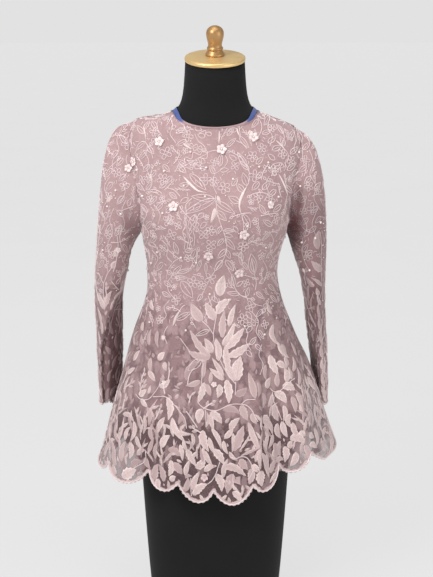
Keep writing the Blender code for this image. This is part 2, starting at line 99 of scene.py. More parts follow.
def modify(obj, kind, **settings):  # adds a modifier and applies it
    pick(obj)
    modifier = obj.modifiers.new(kind.lower(), kind)
    for key, value in settings.items():
        setattr(modifier, key, value)
    bpy.ops.object.modifier_apply(modifier=modifier.name)


def joinAll(parts, name):
    pick(*parts)
    bpy.ops.object.join()
    made = bpy.context.object
    made.name = made.data.name = name
    return made


def smooth(obj, degrees):
    pick(obj)
    bpy.ops.object.shade_smooth_by_angle(angle=math.radians(degrees))


def paint(obj, name, values, where="POINT"):  # a number at each spot, for the finish to read
    obj.data.attributes.new(name, "FLOAT", where).data.foreach_set("value", values)


def newObject(mesh, name):
    obj = bpy.data.objects.new(name, mesh)
    bpy.context.collection.objects.link(obj)
    return obj


def fit(obj, node=None):  # worn by the form, over or in place of the frame's node
    if node:
        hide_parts(node)
    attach(obj, "dressed_form")


def ease(part):
    part = min(max(part, 0.0), 1.0)
    return part * part * (3 - 2 * part)


def triangles(obj):
    return sum(len(p.vertices) - 2 for p in obj.data.polygons)


def treeOf(points):
    tree = KDTree(len(points))
    for k, point in enumerate(points):
        tree.insert(point, k)
    tree.balance()
    return tree


def nodeCopy(node, name):  # a merged copy of a frame node, ready to be worked on
    copy = newObject(frame["nodes"][node].data.copy(), name)
    copy.data.materials.clear()
    editAll(copy)
    bpy.ops.mesh.remove_doubles(threshold=0.03 * mm)
    flat = math.radians(60)
    bpy.ops.mesh.tris_convert_to_quads(face_threshold=flat, shape_threshold=flat)
    leaveEdit()
    return copy


def plug(tree, socket, value):  # a link where the value is a wire, or else the value itself
    if isinstance(value, Wire):
        tree.links.new(value.socket, socket)
    else:
        socket.default_value = value


class Wire:  # a socket that can be added, multiplied and so on
    def __init__(self, tree, socket):
        self.tree, self.socket = tree, socket

    def maths(self, operation, *others, swap=False, clamp=False):
        node = self.tree.nodes.new("ShaderNodeMath")
        node.operation, node.use_clamp = operation, clamp
        for socket, value in zip(node.inputs, (*others, self) if swap else (self, *others)):
            plug(self.tree, socket, value)
        return Wire(self.tree, node.outputs[0])

    def __add__(self, other):
        return self.maths("ADD", other)

    def __sub__(self, other):
        return self.maths("SUBTRACT", other)

    def __rsub__(self, other):
        return self.maths("SUBTRACT", other, swap=True)

    def __mul__(self, other):
        return self.maths("MULTIPLY", other)

    __radd__, __rmul__ = __add__, __mul__

    def clamped(self):
        return self.maths("ADD", 0.0, clamp=True)

    def most(self, other):
        return self.maths("MAXIMUM", other)

    def wave(self):  # one wave from 0 to 1 and back for each whole number
        return (self * 6.283).maths("SINE")

    def size(self):
        return self.maths("ABSOLUTE")


class Finish:  # one material and the nodes that make it
    def __init__(self, name, **fixed):
        self.material = bpy.data.materials.new(name)
        self.material.use_nodes = True
        self.tree = self.material.node_tree
        self.shader = self.tree.nodes["Principled BSDF"]
        for key, value in fixed.items():
            self.shader.inputs[key.replace("_", " ")].default_value = value

    def node(self, kind, settings={}, values={}, out=0):  # settings first, then values or links
        node = self.tree.nodes.new("ShaderNode" + kind)
        for key, value in settings.items():
            setattr(node, key, value)
        for key, value in values.items():
            plug(self.tree, node.inputs[key], value)
        return Wire(self.tree, node.outputs[out])

    def place(self):  # object coordinates in millimetres
        return self.node("Mapping", {}, {"Vector": self.node("TexCoord", out=3), "Scale": (1000,) * 3})

    def noise(self, size, detail, spot=None, out=0):  # size of the blotches in millimetres
        values = {"Vector": spot or self.place(), "Scale": 1 / size, "Detail": detail}
        return self.node("TexNoise", {}, values, out)

    def cells(self, size, spot):  # size of the cells in millimetres
        return self.node("TexVoronoi", {}, {"Vector": spot, "Scale": 1 / size})

    def attribute(self, name):
        return self.node("Attribute", {"attribute_name": name}, out=2)

    def blend(self, part, first, second):  # colours, mixed by a mask
        return self.node("Mix", {"data_type": "RGBA"}, {0: part, 6: first, 7: second}, 2)

    def bump(self, height, strength, rise):  # rise in millimetres
        return self.node("Bump", {}, {"Height": height, "Strength": strength, "Distance": rise * mm})

    def feed(self, **links):
        for key, wire in links.items():
            self.tree.links.new(wire.socket, self.shader.inputs[key.replace("_", " ")])
        return self.material


def colour(code):  # a web colour, as linear values
    parts = [int(code[k:k + 2], 16) / 255 for k in (0, 2, 4)]
    return (*(p / 12.92 if p < 0.04045 else ((p + 0.055) / 1.055) ** 2.4 for p in parts), 1)


# blotches are a size and a detail; grain is a size, a detail, a strength and a rise;
# over is a painted number and the colour that it brings
def dyed(name, light, dark, blotches, grain, over=None, **fixed):
    finish = Finish(name, **fixed)
    spot = finish.place()
    tone = finish.blend(finish.noise(*blotches, spot), colour(light), colour(dark))
    if over:
        tone = finish.blend(finish.attribute(over[0]), tone, colour(over[1]))
    return finish.feed(Base_Color=tone, Normal=finish.bump(finish.noise(*grain[:2], spot), *grain[2:]))


clothLook = {
    "ground": "b69798", "shade": "997a7c", "blotch": 55,  # the net, in two shades
    "deep": "72575a", "gap": 16,  # where it is sheer or lies over the dark
    "paintedBacklight": "d6c7ca", "hollowShade": "4e2326",  # painted light where the flare is lit from behind, and painted shade in creases and at the armpits
    "ghost": "bda1a1", "leaf": 15,  # faint leaves woven in it
    "thread": "c9b0b2", "curl": 11,
    "edge": "d8c3c1", "weave": 1.1, "seeThrough": 0.55, "wall": 1.1,
}


def netFinish(name):
    finish = Finish(name, Roughness=0.8, Sheen_Weight=0.25, Sheen_Roughness=0.5)
    spot = finish.place()
    shift = finish.node("VectorMath", {"operation": "SCALE"}, {0: finish.noise(7, 1, spot, 1), "Scale": 7.0})
    bent = finish.node("VectorMath", {"operation": "ADD"}, {0: spot, 1: shift})
    low, hem, sheer = (finish.attribute(key) for key in ("low", "hem", "sheer"))
    dyes = {key: colour(code) for key, code in clothLook.items() if isinstance(code, str)}
    tone = finish.blend(finish.noise(clothLook["blotch"], 3, spot), dyes["ground"], dyes["shade"])
    tone = finish.blend(low * 0.36 + ((sheer - 0.3) * 1.5).clamped() * 0.5, tone, dyes["deep"])
    # painted light: paler where the flare on the right is lit from behind
    tone = finish.blend(finish.attribute("pale") * 0.5, tone, dyes["paintedBacklight"])
    gaps = ((finish.noise(clothLook["gap"], 2, bent) - 0.47) * 9).clamped() * (low * 1.6).clamped()
    tone = finish.blend(gaps * 0.6, tone, dyes["deep"])
    tall = finish.node("Mapping", {}, {"Vector": bent, "Scale": (1, 1, 0.42)})
    ghost = ((0.5 - finish.cells(clothLook["leaf"], tall)) * 7).clamped() * (0.25 + low * 0.75)
    tone = finish.blend(ghost * 0.4, tone, dyes["ghost"])
    curls = (finish.noise(clothLook["curl"], 1, bent) - 0.5).size()
    thread = (1 - curls * 34).clamped() * (1 - low * 0.6)
    tone = finish.blend(thread * 0.45, tone, dyes["thread"])
    band = ((1.5 + finish.noise(8, 1, spot) * 8 - hem) * 0.5).clamped()
    tone = finish.blend(band * 0.8, tone, dyes["edge"])
    # painted shade: darker where the cloth's shade number is painted, in creases and at the armpits
    tone = finish.blend(finish.attribute("shade"), tone, dyes["hollowShade"])
    relief = finish.cells(clothLook["weave"], spot) * 0.5 + thread * 0.8 + ghost * 0.6
    alpha = 1 - sheer * clothLook["seeThrough"] * (1 - band) * (1 - ghost * 0.5)
    return finish.feed(Base_Color=tone, Normal=finish.bump(relief, 0.3, 0.4), Alpha=alpha)


def outerWall(obj, thin=1.7):  # leaves the outer one of a shell's two walls
    editAll(obj, "FACE")
    bpy.ops.mesh.select_all(action="DESELECT")
    shape = bmesh.from_edit_mesh(obj.data)
    for face in shape.faces:
        face.select_set(any(edge.calc_length() < thin * mm for edge in face.edges))
    bmesh.update_edit_mesh(obj.data)
    bpy.ops.mesh.delete(type="ONLY_FACE")
    bpy.ops.mesh.select_all(action="DESELECT")
    shape = bmesh.from_edit_mesh(obj.data)
    for edge in [e for e in shape.edges if not e.link_faces]:
        shape.edges.remove(edge)
    left, walls = set(shape.faces), []
    while left:  # the faces of one wall after another
        walls.append(set())
        queue = [left.pop()]
        while queue:
            face = queue.pop()
            walls[-1].add(face)
            near = {f for e in face.edges for f in e.link_faces} & left
            left -= near
            queue += near
    outer = max(walls, key=lambda faces: sum(face.calc_area() for face in faces))
    for face in shape.faces:
        face.select_set(face not in outer)
    bmesh.update_edit_mesh(obj.data)
    bpy.ops.mesh.delete(type="FACE")
    leaveEdit()


def sharpenCorners(obj, turn=50):  # corners of the cut stay sharp when the sheet is smoothed
    shape = bmesh.new()
    shape.from_mesh(obj.data)
    corners = [0.0] * len(shape.verts)
    for vert in shape.verts:
        rim = [e.other_vert(vert).co - vert.co for e in vert.link_edges if e.is_boundary]
        if len(rim) == 2 and math.degrees(rim[0].angle(-rim[1])) > turn:
            corners[vert.index] = 1.0
    shape.free()
    paint(obj, "crease_vert", corners)


# a fold is its line across and up, its width, and its height at both ends
foldLook = {
    "front": (
        (((77, 640), (80, 530), (81, 435), (84, 340)), 7, 1, 6),
        (((-95, 610), (-84, 548), (-70, 504), (-59, 459), (-51, 380)), 8, 1, 5),
        (((-131, 649), (-125, 594), (-129, 522), (-133, 447), (-133, 350)), 9, 1, 6),
        (((147, 590), (157, 514), (164, 461), (174, 380)), 8, 2, 6),
        (((-20, 520), (-17, 459), (-13, 402), (-2, 326)), 9, 0, 5), (((40, 470), (38, 400), (42, 330)), 8, 0, 4),
        (((79, 800), (84, 750), (89, 700), (88, 640)), 7, 1, 2), (((60, 790), (66, 740), (70, 690)), 6, 1, 2),
        (((-141, 790), (-121, 806), (-90, 814)), 5, 3, 0), (((-143, 762), (-118, 763), (-84, 746)), 5, 3, 0),
        (((141, 786), (111, 808), (82, 812)), 5, 3, 0), (((140, 760), (112, 764), (90, 752)), 5, 2, 0),
        (((-30, 905), (-36, 860), (-46, 820)), 10, 0, 1.5), (((34, 905), (46, 860), (60, 815)), 10, 0, 1.5),
    ),
    # each sleeve's crease: its edge and far side, how deep it falls in, where it starts, how dark its recess is
    # painted, and a painted shade over the upper sleeve's front
    "sleeve_left": {
        "edge": ((636, -185), (614, -198), (580, -212), (540, -222), (519, -228), (468, -230), (395, -229)),
        "far": ((636, -180), (568, -184), (503, -187), (435, -191), (395, -193)),
        "deep": 10, "top": 642, "dark": 0.58, "paintedShade": 0.08},
    "sleeve_right": {
        "edge": ((655, 182), (634, 195), (563, 200), (507, 205), (447, 211), (400, 214)),
        "far": ((655, 175), (576, 183), (509, 192), (449, 200), (400, 205)),
        "deep": 7, "top": 658, "dark": 0.42, "paintedShade": 0.42},
    "flutes": {"count": 13, "height": 6, "from": waist, "to": 380},
    "armpitShadows": (  # painted shadows at the armpits: across, up, how dark, half width and height
        ("sleeve_right", 150, 774, 1, 24, 60), ("sleeve_right", 158, 822, 0.85, 10, 36),
        ("front", 150, 812, 0.4, 13, 26),
        ("sleeve_left", -160, 776, 0.42, 17, 36), ("front", -148, 796, 0.3, 12, 22)),
}


def between(table, height):  # a value read from rows of (height, value), highest first
    for (top, first), (low, second) in zip(table, table[1:]):
        if height >= low:
            return first + (second - first) * min(max((top - height) / (top - low), 0), 1)
    return table[-1][1]


def onLine(points, x, z):  # distance from a line, and how far along it
    best, lengths = (1e9, 0), [math.dist(a, b) for a, b in zip(points, points[1:])]
    for k, ((ax, az), (bx, bz)) in enumerate(zip(points, points[1:])):
        t = min(max(((x - ax) * (bx - ax) + (z - az) * (bz - az)) / lengths[k] ** 2, 0), 1)
        d = math.hypot(x - ax - (bx - ax) * t, z - az - (bz - az) * t)
        if d < best[0]:
            best = (d, (sum(lengths[:k]) + t * lengths[k]) / sum(lengths))
    return best


def bodyFold(co, normal):  # flutes all round below the waist, and the folds in front
    x, y, z = co / mm
    flutes = foldLook["flutes"]
    angle = math.atan2(x, -y)
    turns = flutes["count"] * angle + 1.2 * math.sin(2 * angle + 0.6) + 0.9 * math.sin(z / 90)
    drop = ease((flutes["from"] - z) / (flutes["from"] - flutes["to"]))
    lift = flutes["height"] * drop * (0.5 + 0.5 * math.cos(turns)) ** 1.5
    move = Vector((co.x * 0.75, co.y * 1.2, 0)).normalized() * lift
    if y < -8:
        for points, width, first, second in foldLook["front"]:
            away, along = onLine(points, x, z)
            if away < 3 * width:
                fade = ease((-8 - y) / 25) * min(1, 4 * (1.02 - along) if second < 1 else 1)
                move += normal * (first + (second - first) * along) * math.exp(-(away / width) ** 2) * fade
    return move + normal * max(0, noise.noise(co * 14)) * 1.2 * ease((z - waist) / -60 + 1)


def sleeveFold(side, co, normal):  # the cloth falls in behind a crease; gives the move, and the painted shade in the recess and over the upper sleeve
    x, _, z = co / mm
    look = foldLook[side]
    paintedShade = look["paintedShade"] * ease((880 - z) / 90) * ease((z - 480) / 90) * ease(-normal.y / 0.3)
    if normal.y > -0.05 or z > look["top"]:
        return Vector(), paintedShade
    edge, far = between(look["edge"], z), between(look["far"], z)
    t = (x - edge) / (far - edge)
    start = ease((look["top"] - z) / 22) * ease(-normal.y / 0.2)
    hollowShade = ease(t / 0.09) * ease((1.25 - t) / 0.4) * start
    ridge = math.exp(-((t + 0.1) / 0.13) ** 2) * start
    inward = Vector((0, 1, 0))
    return inward * hollowShade * look["deep"] - inward * ridge * 2.5, max(paintedShade, hollowShade * look["dark"])


# moves the cloth into its folds and paints its shade number: painted shadows at the armpits, painted shade in the
# sleeve creases and over the upper sleeves
def foldSheet(node, obj):
    shades, moves = [], []
    for vert in obj.data.vertices:
        x, y, z = vert.co / mm
        near = [dark * math.exp(-math.hypot((x - across) / wide, (z - high) / tall) ** 2.6)
                for piece, across, high, dark, wide, tall in foldLook["armpitShadows"] if piece == node]
        shade = max(near, default=0) * (1 - 0.8 * ease((y - 12) / 30))
        if node in sleeveSheets:
            move, paintedShade = sleeveFold(node, vert.co, vert.normal)
            shade = max(shade, paintedShade)
        else:
            move = bodyFold(vert.co, vert.normal)
        moves.append(move * mm)
        shades.append(shade)
    for vert, move in zip(obj.data.vertices, moves):
        vert.co += move
    paint(obj, "shade", shades)
    obj.data.update()


def clothSheet(node, name, levels=2):
    obj = nodeCopy(node, name)
    outerWall(obj)
    sharpenCorners(obj)
    modify(obj, "SUBSURF", levels=levels, render_levels=levels, boundary_smooth="ALL")
    return obj


sheets = {}
for node in netSheets:
    sheets[node] = clothSheet(node, node + "_net")
    foldSheet(node, sheets[node])
sheets["lining_skirt"] = clothSheet("lining_skirt", "lining_cloth", 1)
print("cloth sheets smoothed and folded")


class Ground:  # cloth that embroidery is laid on
    def __init__(self, *names):
        spots, faces = [], []
        for name in names:
            first, mesh = len(spots), sheets[name].data
            spots += [vert.co.copy() for vert in mesh.vertices]
            faces += [[first + k for k in face.vertices] for face in mesh.polygons]
        self.tree = BVHTree.FromPolygons(spots, faces)

    def near(self, point):  # the nearest spot of the cloth, and its normal
        return self.tree.find_nearest(point)[:2]

    def seen(self, across, high, side=-1):  # straight on from the front (-1) or the back (1), in millimetres
        start = Vector((across * mm, side, high * mm))
        spot, normal, _, _ = self.tree.ray_cast(start, Vector((0, -side, 0)))
        if spot is None:  # just past the cloth's outline
            tries = [self.tree.find_nearest(Vector((across * mm, side * k * 0.01, high * mm))) for k in range(-6, 19)]
            spot, normal, _, _ = min(tries, key=lambda found: found[3])
        return spot, normal

    def through(self, knots, step=2.6):  # a smooth line through spots, lying on the cloth
        found, last = [], len(knots) - 1
        for k in range(last):
            a, b, c, d = knots[max(k - 1, 0)], knots[k], knots[k + 1], knots[min(k + 2, last)]
            steps = max(1, round((c - b).length / mm / step))
            for j in range(steps):
                t = j / steps
                spot = 2 * b + (c - a) * t + (2 * a - 5 * b + 4 * c - d) * t * t
                found.append(self.near(0.5 * (spot + (3 * b - a - 3 * c + d) * t ** 3)))
        return found + [self.near(knots[-1])]

    def frameAt(self, across, high, side=-1):  # a spot with its right, up and outward directions
        return onCloth(*self.seen(across, high, side))


def onCloth(spot, normal):
    right = zAxis.cross(normal).normalized()
    return spot, right, normal.cross(right), normal


def upOver(normal):  # up along the cloth
    return (zAxis - normal * normal.z).normalized()


def edgeRun(node, keep):  # a sheet's free edge where keep says so, as runs of points, longest first
    shape = bmesh.new()
    shape.from_mesh(sheets[node].data)
    left = {v.index: v for v in shape.verts if v.is_boundary and keep(v.co / mm)}
    runs = []

    def beside(vert):
        return [n for n in (e.other_vert(vert) for e in vert.link_edges if e.is_boundary) if n.index in left]

    while left:
        first = min(left.values(), key=lambda v: (len(beside(v)), v.index))
        run = [first]
        del left[first.index]
        while beside(run[-1]):
            run.append(beside(run[-1])[0])
            del left[run[-1].index]
        closed = len(run) > 3 and any(e.other_vert(run[-1]) == first for e in run[-1].link_edges)
        runs.append([v.co.copy() for v in run] + ([first.co.copy()] if closed else []))
    shape.free()
    return sorted(runs, key=len, reverse=True)


def atNeck(p):
    return p.z > 955 and math.hypot(p.x, p.y) < 90


def atZip(p, room):
    return abs(p.x) < room and p.y > 0


def isSeam(p):
    return not atNeck(p) and not atZip(p, 4) and not (p.z < 420 and abs(p.y) > 4)


grounds = {"body": Ground(*netSheets), "sleeve_left": Ground("sleeve_left"), "sleeve_right": Ground("sleeve_right")}
rims = {node: edgeRun(node, lambda p: p.z < 430 and abs(p.y) > 4 and not atZip(p, 4))[0] for node in bodySheets}
rims.update({node: edgeRun(node, lambda p: p.z < 500)[0] for node in sleeveSheets})
neckRuns = [edgeRun(node, lambda p: atNeck(p) and abs(p.y) > 0.5 and not atZip(p, 3))[0] for node in bodySheets]
seamRuns = [run for node in bodySheets for run in edgeRun(node, isSeam) if len(run) > 3]


def hemHeight(across, side):  # how low the hem hangs at a place, in millimetres
    names = ("front",) if side < 0 else backSheets
    return min(((abs(p.x / mm - across), p.z / mm) for name in names for p in rims[name]))[1]


def keepShape(obj, name):
    obj.name = name
    obj.hide_render = True
    return obj


def leafShape(name, outline, columns):  # x along the leaf 0..1, y across -1..1, z its crown
    bpy.ops.mesh.primitive_grid_add(x_subdivisions=columns, y_subdivisions=4, size=1)
    leaf = bpy.context.object
    crown = (0.0, 1.0, 0.62, 1.0, 0.0)
    for vert in leaf.data.vertices:
        along, across = vert.co.x + 0.5, vert.co.y * 2
        wide = outline(along) if 0 < along < 1 else 0.0
        vert.co = (along, across * wide, crown[round((across + 1) * 2)] * min(1.0, wide * 1.6))
    editAll(leaf, "EDGE")
    bpy.ops.mesh.remove_doubles(threshold=0.001)
    bpy.ops.mesh.region_to_loop()
    bpy.ops.mesh.extrude_region_move(TRANSFORM_OT_translate={"value": (0, 0, -0.35)})
    bpy.ops.mesh.edge_face_add()
    bpy.ops.mesh.select_all(action="SELECT")
    bpy.ops.mesh.normals_make_consistent(inside=False)
    leaveEdit()
    return keepShape(leaf, name)


def pointed(along):
    return math.sin(math.pi * along ** 0.78) ** 1.1


def toothed(along):
    return pointed(along) * (1.0 if round(along * 10) % 2 else 0.8)


def petal(along):
    return math.sin(math.pi * min(0.08 + along * 0.9, 1) ** 1.3) ** 0.7


def flowerShape(petals=5):  # one petal, turned round into a flower of radius 1
    parts = []
    for k in range(petals):
        part = leafShape("petal", petal, 4)
        for vert in part.data.vertices:
            along, across, lift = vert.co
            vert.co = (0.12 + 0.88 * along, across * 0.42, 0.1 + 0.16 * lift + 0.26 * along ** 2)
        editAll(part)
        bpy.ops.transform.rotate(value=2 * math.pi * k / petals, orient_axis="Z", center_override=(0, 0, 0))
        leaveEdit()
        parts.append(part)
    bpy.ops.mesh.primitive_uv_sphere_add(segments=8, ring_count=5, radius=0.2, location=(0, 0, 0.22))
    bpy.ops.object.transform_apply(location=True, rotation=True, scale=True)
    return keepShape(joinAll(parts + [bpy.context.object], "flower"), "flower")


def pearlShape():
    bpy.ops.mesh.primitive_uv_sphere_add(segments=10, ring_count=7, radius=1)
    return keepShape(bpy.context.object, "pearl")


shapes = {
    "pointed": leafShape("leaf_pointed", pointed, 7),
    "toothed": leafShape("leaf_toothed", toothed, 10),
    "small": leafShape("leaf_small", pointed, 5),
    "flower": flowerShape(), "pearl": pearlShape(),
}
print("embroidery shapes modelled")


class Cover:  # where something is sewn already
    def __init__(self, cell=9.0):
        self.cell, self.spots = cell * mm, {}

    def key(self, point):
        return tuple(math.floor(c / self.cell) for c in point)

    def add(self, point, radius):
        self.spots.setdefault(self.key(point), []).append((point.copy(), radius * mm))

    def free(self, point, radius):
        x, y, z = self.key(point)
        near = [(x + i, y + j, z + k) for i in (-1, 0, 1) for j in (-1, 0, 1) for k in (-1, 0, 1)]
        sewn = (spot for key in near for spot in self.spots.get(key, ()))
        return all((spot - point).length >= wide + radius * mm for spot, wide in sewn)

    def allFree(self, line, radius):
        return all(self.free(point, radius) for point, _ in line)


cover = Cover()
shadeTree = treeOf([vert.co for node in netSheets for vert in sheets[node].data.vertices])
shadeValues = [mark.value for node in netSheets for mark in sheets[node].data.attributes["shade"].data]


class Stitching:  # everything sewn on one panel
    def __init__(self, name, ground="body", side=-1):
        self.name, self.ground, self.side = name, grounds[ground], side
        self.cords, self.sewn = [], {"leaves": [], "flowers": [], "pearls": []}

    def spots(self, places):
        return [self.ground.seen(x, z, self.side)[0] for x, z in places]

    def copyOf(self, kind, coords, tone, ending):
        made = newObject(shapes[kind].data.copy(), kind)
        made.data.vertices.foreach_set("co", [c for point in coords for c in point])
        paint(made, "tone", [tone] * len(coords))
        self.sewn[ending].append(made)

    def cord(self, laid, thick, closed=False):  # laid: spots with their normals
        for spot, _ in laid:
            cover.add(spot, 1.2)
        self.cords.append(([spot + normal * thick * 0.3 * mm for spot, normal in laid], thick, closed))

    def leaf(self, knots, width, tone=1.0, kind="small", thick=0.9):
        laid = self.ground.through(knots, 1.0)
        for k, (spot, _) in enumerate(laid[::2]):
            cover.add(spot, width / 2 * math.sin(math.pi * (k + 0.5) / len(laid[::2])) + 0.3)
        count, coords = len(laid) - 1, []
        for vert in shapes[kind].data.vertices:
            along, across, lift = vert.co
            place = min(max(along, 0), 1) * count
            k = min(int(place), count - 1)
            spot = laid[k][0].lerp(laid[k + 1][0], place - k)
            way = (laid[min(k + 2, count)][0] - laid[max(k - 1, 0)][0]).normalized()
            beside = laid[k][1].cross(way).normalized()
            ground, normal = self.ground.near(spot + beside * across * width / 2 * mm)
            coords.append(ground + normal * lift * thick * mm)
        self.copyOf(kind, coords, tone, "leaves")

    def bloom(self, across, high, radius, tone, turn):
        spot, right, above, _ = self.ground.frameAt(across, high, self.side)
        coords = []
        for vert in shapes["flower"].data.vertices:
            x, y, lift = vert.co
            a, b = x * math.cos(turn) - y * math.sin(turn), x * math.sin(turn) + y * math.cos(turn)
            ground, face = self.ground.near(spot + (right * a + above * b) * radius * mm)
            coords.append(ground + face * lift * radius * mm)
        self.copyOf("flower", coords, tone, "flowers")

    def pearl(self, spot, normal, radius):
        cover.add(spot, radius)
        middle = spot + normal * radius * 0.7 * mm
        coords = [middle + vert.co * radius * mm for vert in shapes["pearl"].data.vertices]
        self.copyOf("pearl", coords, 1.0, "pearls")

    def outlined(self, base, tip, width, steps, wide, vein, thick=1.3):  # corded round a leaf, and along its vein
        _, normal = self.ground.near((base + tip) / 2)
        way = tip - base
        beside = normal.cross(way).normalized() * width / 2 * mm
        right, left = ([self.ground.near(base + way * (k / steps) + beside * side * wide(k / steps))
                        for k in range(1, steps)] for side in (1, -1))
        self.cord([self.ground.near(base)] + right + [self.ground.near(tip)] + left[::-1], thick, True)
        if vein:
            self.cord([self.ground.near(base + way * s) for s in vein], thick * 0.75)

    def ring(self, base, tip, width, vein=()):
        long = (tip - base).length / mm
        vein = vein if long > 18 else ()
        self.outlined(base, tip, width, max(5, round(long / 3)), lambda s: math.sin(math.pi * s ** 0.8) ** 0.9, vein)

    def openLeaf(self, ends, width):
        self.ring(*self.spots(ends), width, (0.05, 0.25, 0.45, 0.65, 0.8))

    def lobedLeaf(self, ends, width, lobes):
        def wide(s):
            return math.sin(math.pi * s ** 0.75) ** 0.8 * (0.72 + 0.38 * math.sin(2 * math.pi * lobes * s))

        self.outlined(*self.spots(ends), width, lobes * 6, wide, [s / 8 for s in range(8)])

    def loopFlower(self, here, radius, petals, turn, thick=1.25):
        spot, right, above, _ = here
        for k in range(petals):
            angle, ring = turn + 2 * math.pi * k / petals, []
            for j in range(8):
                t = 2 * math.pi * j / 8
                a, b = radius * (0.58 + 0.4 * math.cos(t)), radius * 0.3 * math.sin(t)
                x, y = a * math.cos(angle) - b * math.sin(angle), a * math.sin(angle) + b * math.cos(angle)
                ring.append(self.ground.near(spot + (right * x + above * y) * mm))
            self.cord(ring, thick, True)

    def walk(self, spot, normal, way, length, curl=0.0, step=2.5):  # over the cloth, curl is radians a millimetre
        laid, ways = [(spot, normal)], [way]
        for _ in range(max(2, round(length / step))):
            way = Quaternion(normal, curl * step) @ way
            spot, normal = self.ground.near(spot + way * step * mm)
            way = (way - normal * way.dot(normal)).normalized()
            laid.append((spot, normal))
            ways.append(way)
        return laid, ways

    def branch(self, stem, ways, k, lean, *how):  # a walk that leaves the stem at its point k
        return self.walk(*stem[k], Quaternion(stem[k][1], lean) @ ways[k], *how)

    def climb(self, spot, normal, lean, *how):
        stem, ways = self.walk(spot, normal, Quaternion(normal, lean) @ upOver(normal), *how)
        return stem, ways, any(atZip(point / mm, 6) for point, _ in stem)

    # a stem with leaves on both sides, where there is room; leaf is their length and width
    def sprig(self, spot, normal, lean, length, curl, leaf, filled, tone=1.0, gap=3, thick=1.3):
        stem, ways, crossing = self.climb(spot, normal, lean, length, curl)
        if crossing:
            return 0
        room, end = [], 0
        for k in range(1, len(stem)):
            last = k == len(stem) - 1
            if not last and k % gap:
                continue
            side = 0 if last else (1 if (k // gap) % 2 else -1)
            size = leaf[0] * (1 - 0.35 * k / len(stem)) * (1.1 if last else 1)
            line, _ = self.branch(stem, ways, k, side * 0.8, size, -side * 0.03)
            if cover.allFree(line[1:], leaf[1] * 0.33):
                room.append([point for point, _ in line])
                end = k
        if len(room) < max(1, (len(stem) // gap) * 0.6):
            return 0
        for line in room:
            if filled:
                self.leaf([line[0], line[len(line) // 2], line[-1]], leaf[1], tone)
            else:
                self.ring(line[0], line[-1], leaf[1])
        if length > 8 and len(room) > 1 and tone > 0.25:
            self.cord(stem[:end + 1], thick * 1.1)
        return len(room)

    def frond(self, spot, normal, lean, length, curl, twig, thick=1.2):  # a stem with hooked twigs
        stem, ways, crossing = self.climb(spot, normal, lean, length, curl, 3.2)
        if crossing or not cover.allFree(stem, 0.7):
            return 0
        twigs = []
        for k in range(1, len(stem)):
            side = 1 if k % 2 else -1
            line, _ = self.branch(stem, ways, k, side * 1.15, twig * (1 - 0.4 * k / len(stem)), -side * 0.14, 2.2)
            if cover.allFree(line[1:], 0.3):
                twigs.append(line)
        if len(twigs) < len(stem) * 0.5:
            return 0
        self.cord(stem, thick)
        for line in twigs:
            self.cord(line, thick * 0.9)
        return 1

    def tubes(self):  # all the cords as one mesh
        curve = bpy.data.curves.new(self.name + "_cords", "CURVE")
        curve.dimensions = "3D"
        curve.bevel_depth = 0.5 * mm
        curve.bevel_resolution = 0
        curve.use_fill_caps = True
        for points, thick, closed in self.cords:
            spline = curve.splines.new("POLY")
            spline.points.add(len(points) - 1)
            for place, point in zip(spline.points, points):
                place.co = (*point, 1)
                place.radius = thick
            spline.use_cyclic_u = closed
            spline.use_smooth = True
        pick(newObject(curve, self.name + "_cords"))
        bpy.ops.object.convert(target="MESH")
        return bpy.context.object

    def finished(self, looks):
        made = {"cords": self.tubes()} if self.cords else {}
        for ending, parts in self.sewn.items():
            if parts:
                made[ending] = joinAll(parts, f"{self.name}_{ending}")
        for ending, obj in made.items():
            # the cloth's painted shade from creases and armpits, carried onto what is sewn on it
            paint(obj, "shade", [shadeValues[shadeTree.find(vert.co)[1]] for vert in obj.data.vertices])
            obj.data.materials.clear()
            obj.data.materials.append(looks[ending])
            smooth(obj, 60)
            fit(obj)
            print(obj.name, "triangles", triangles(obj))
        return list(made.values())


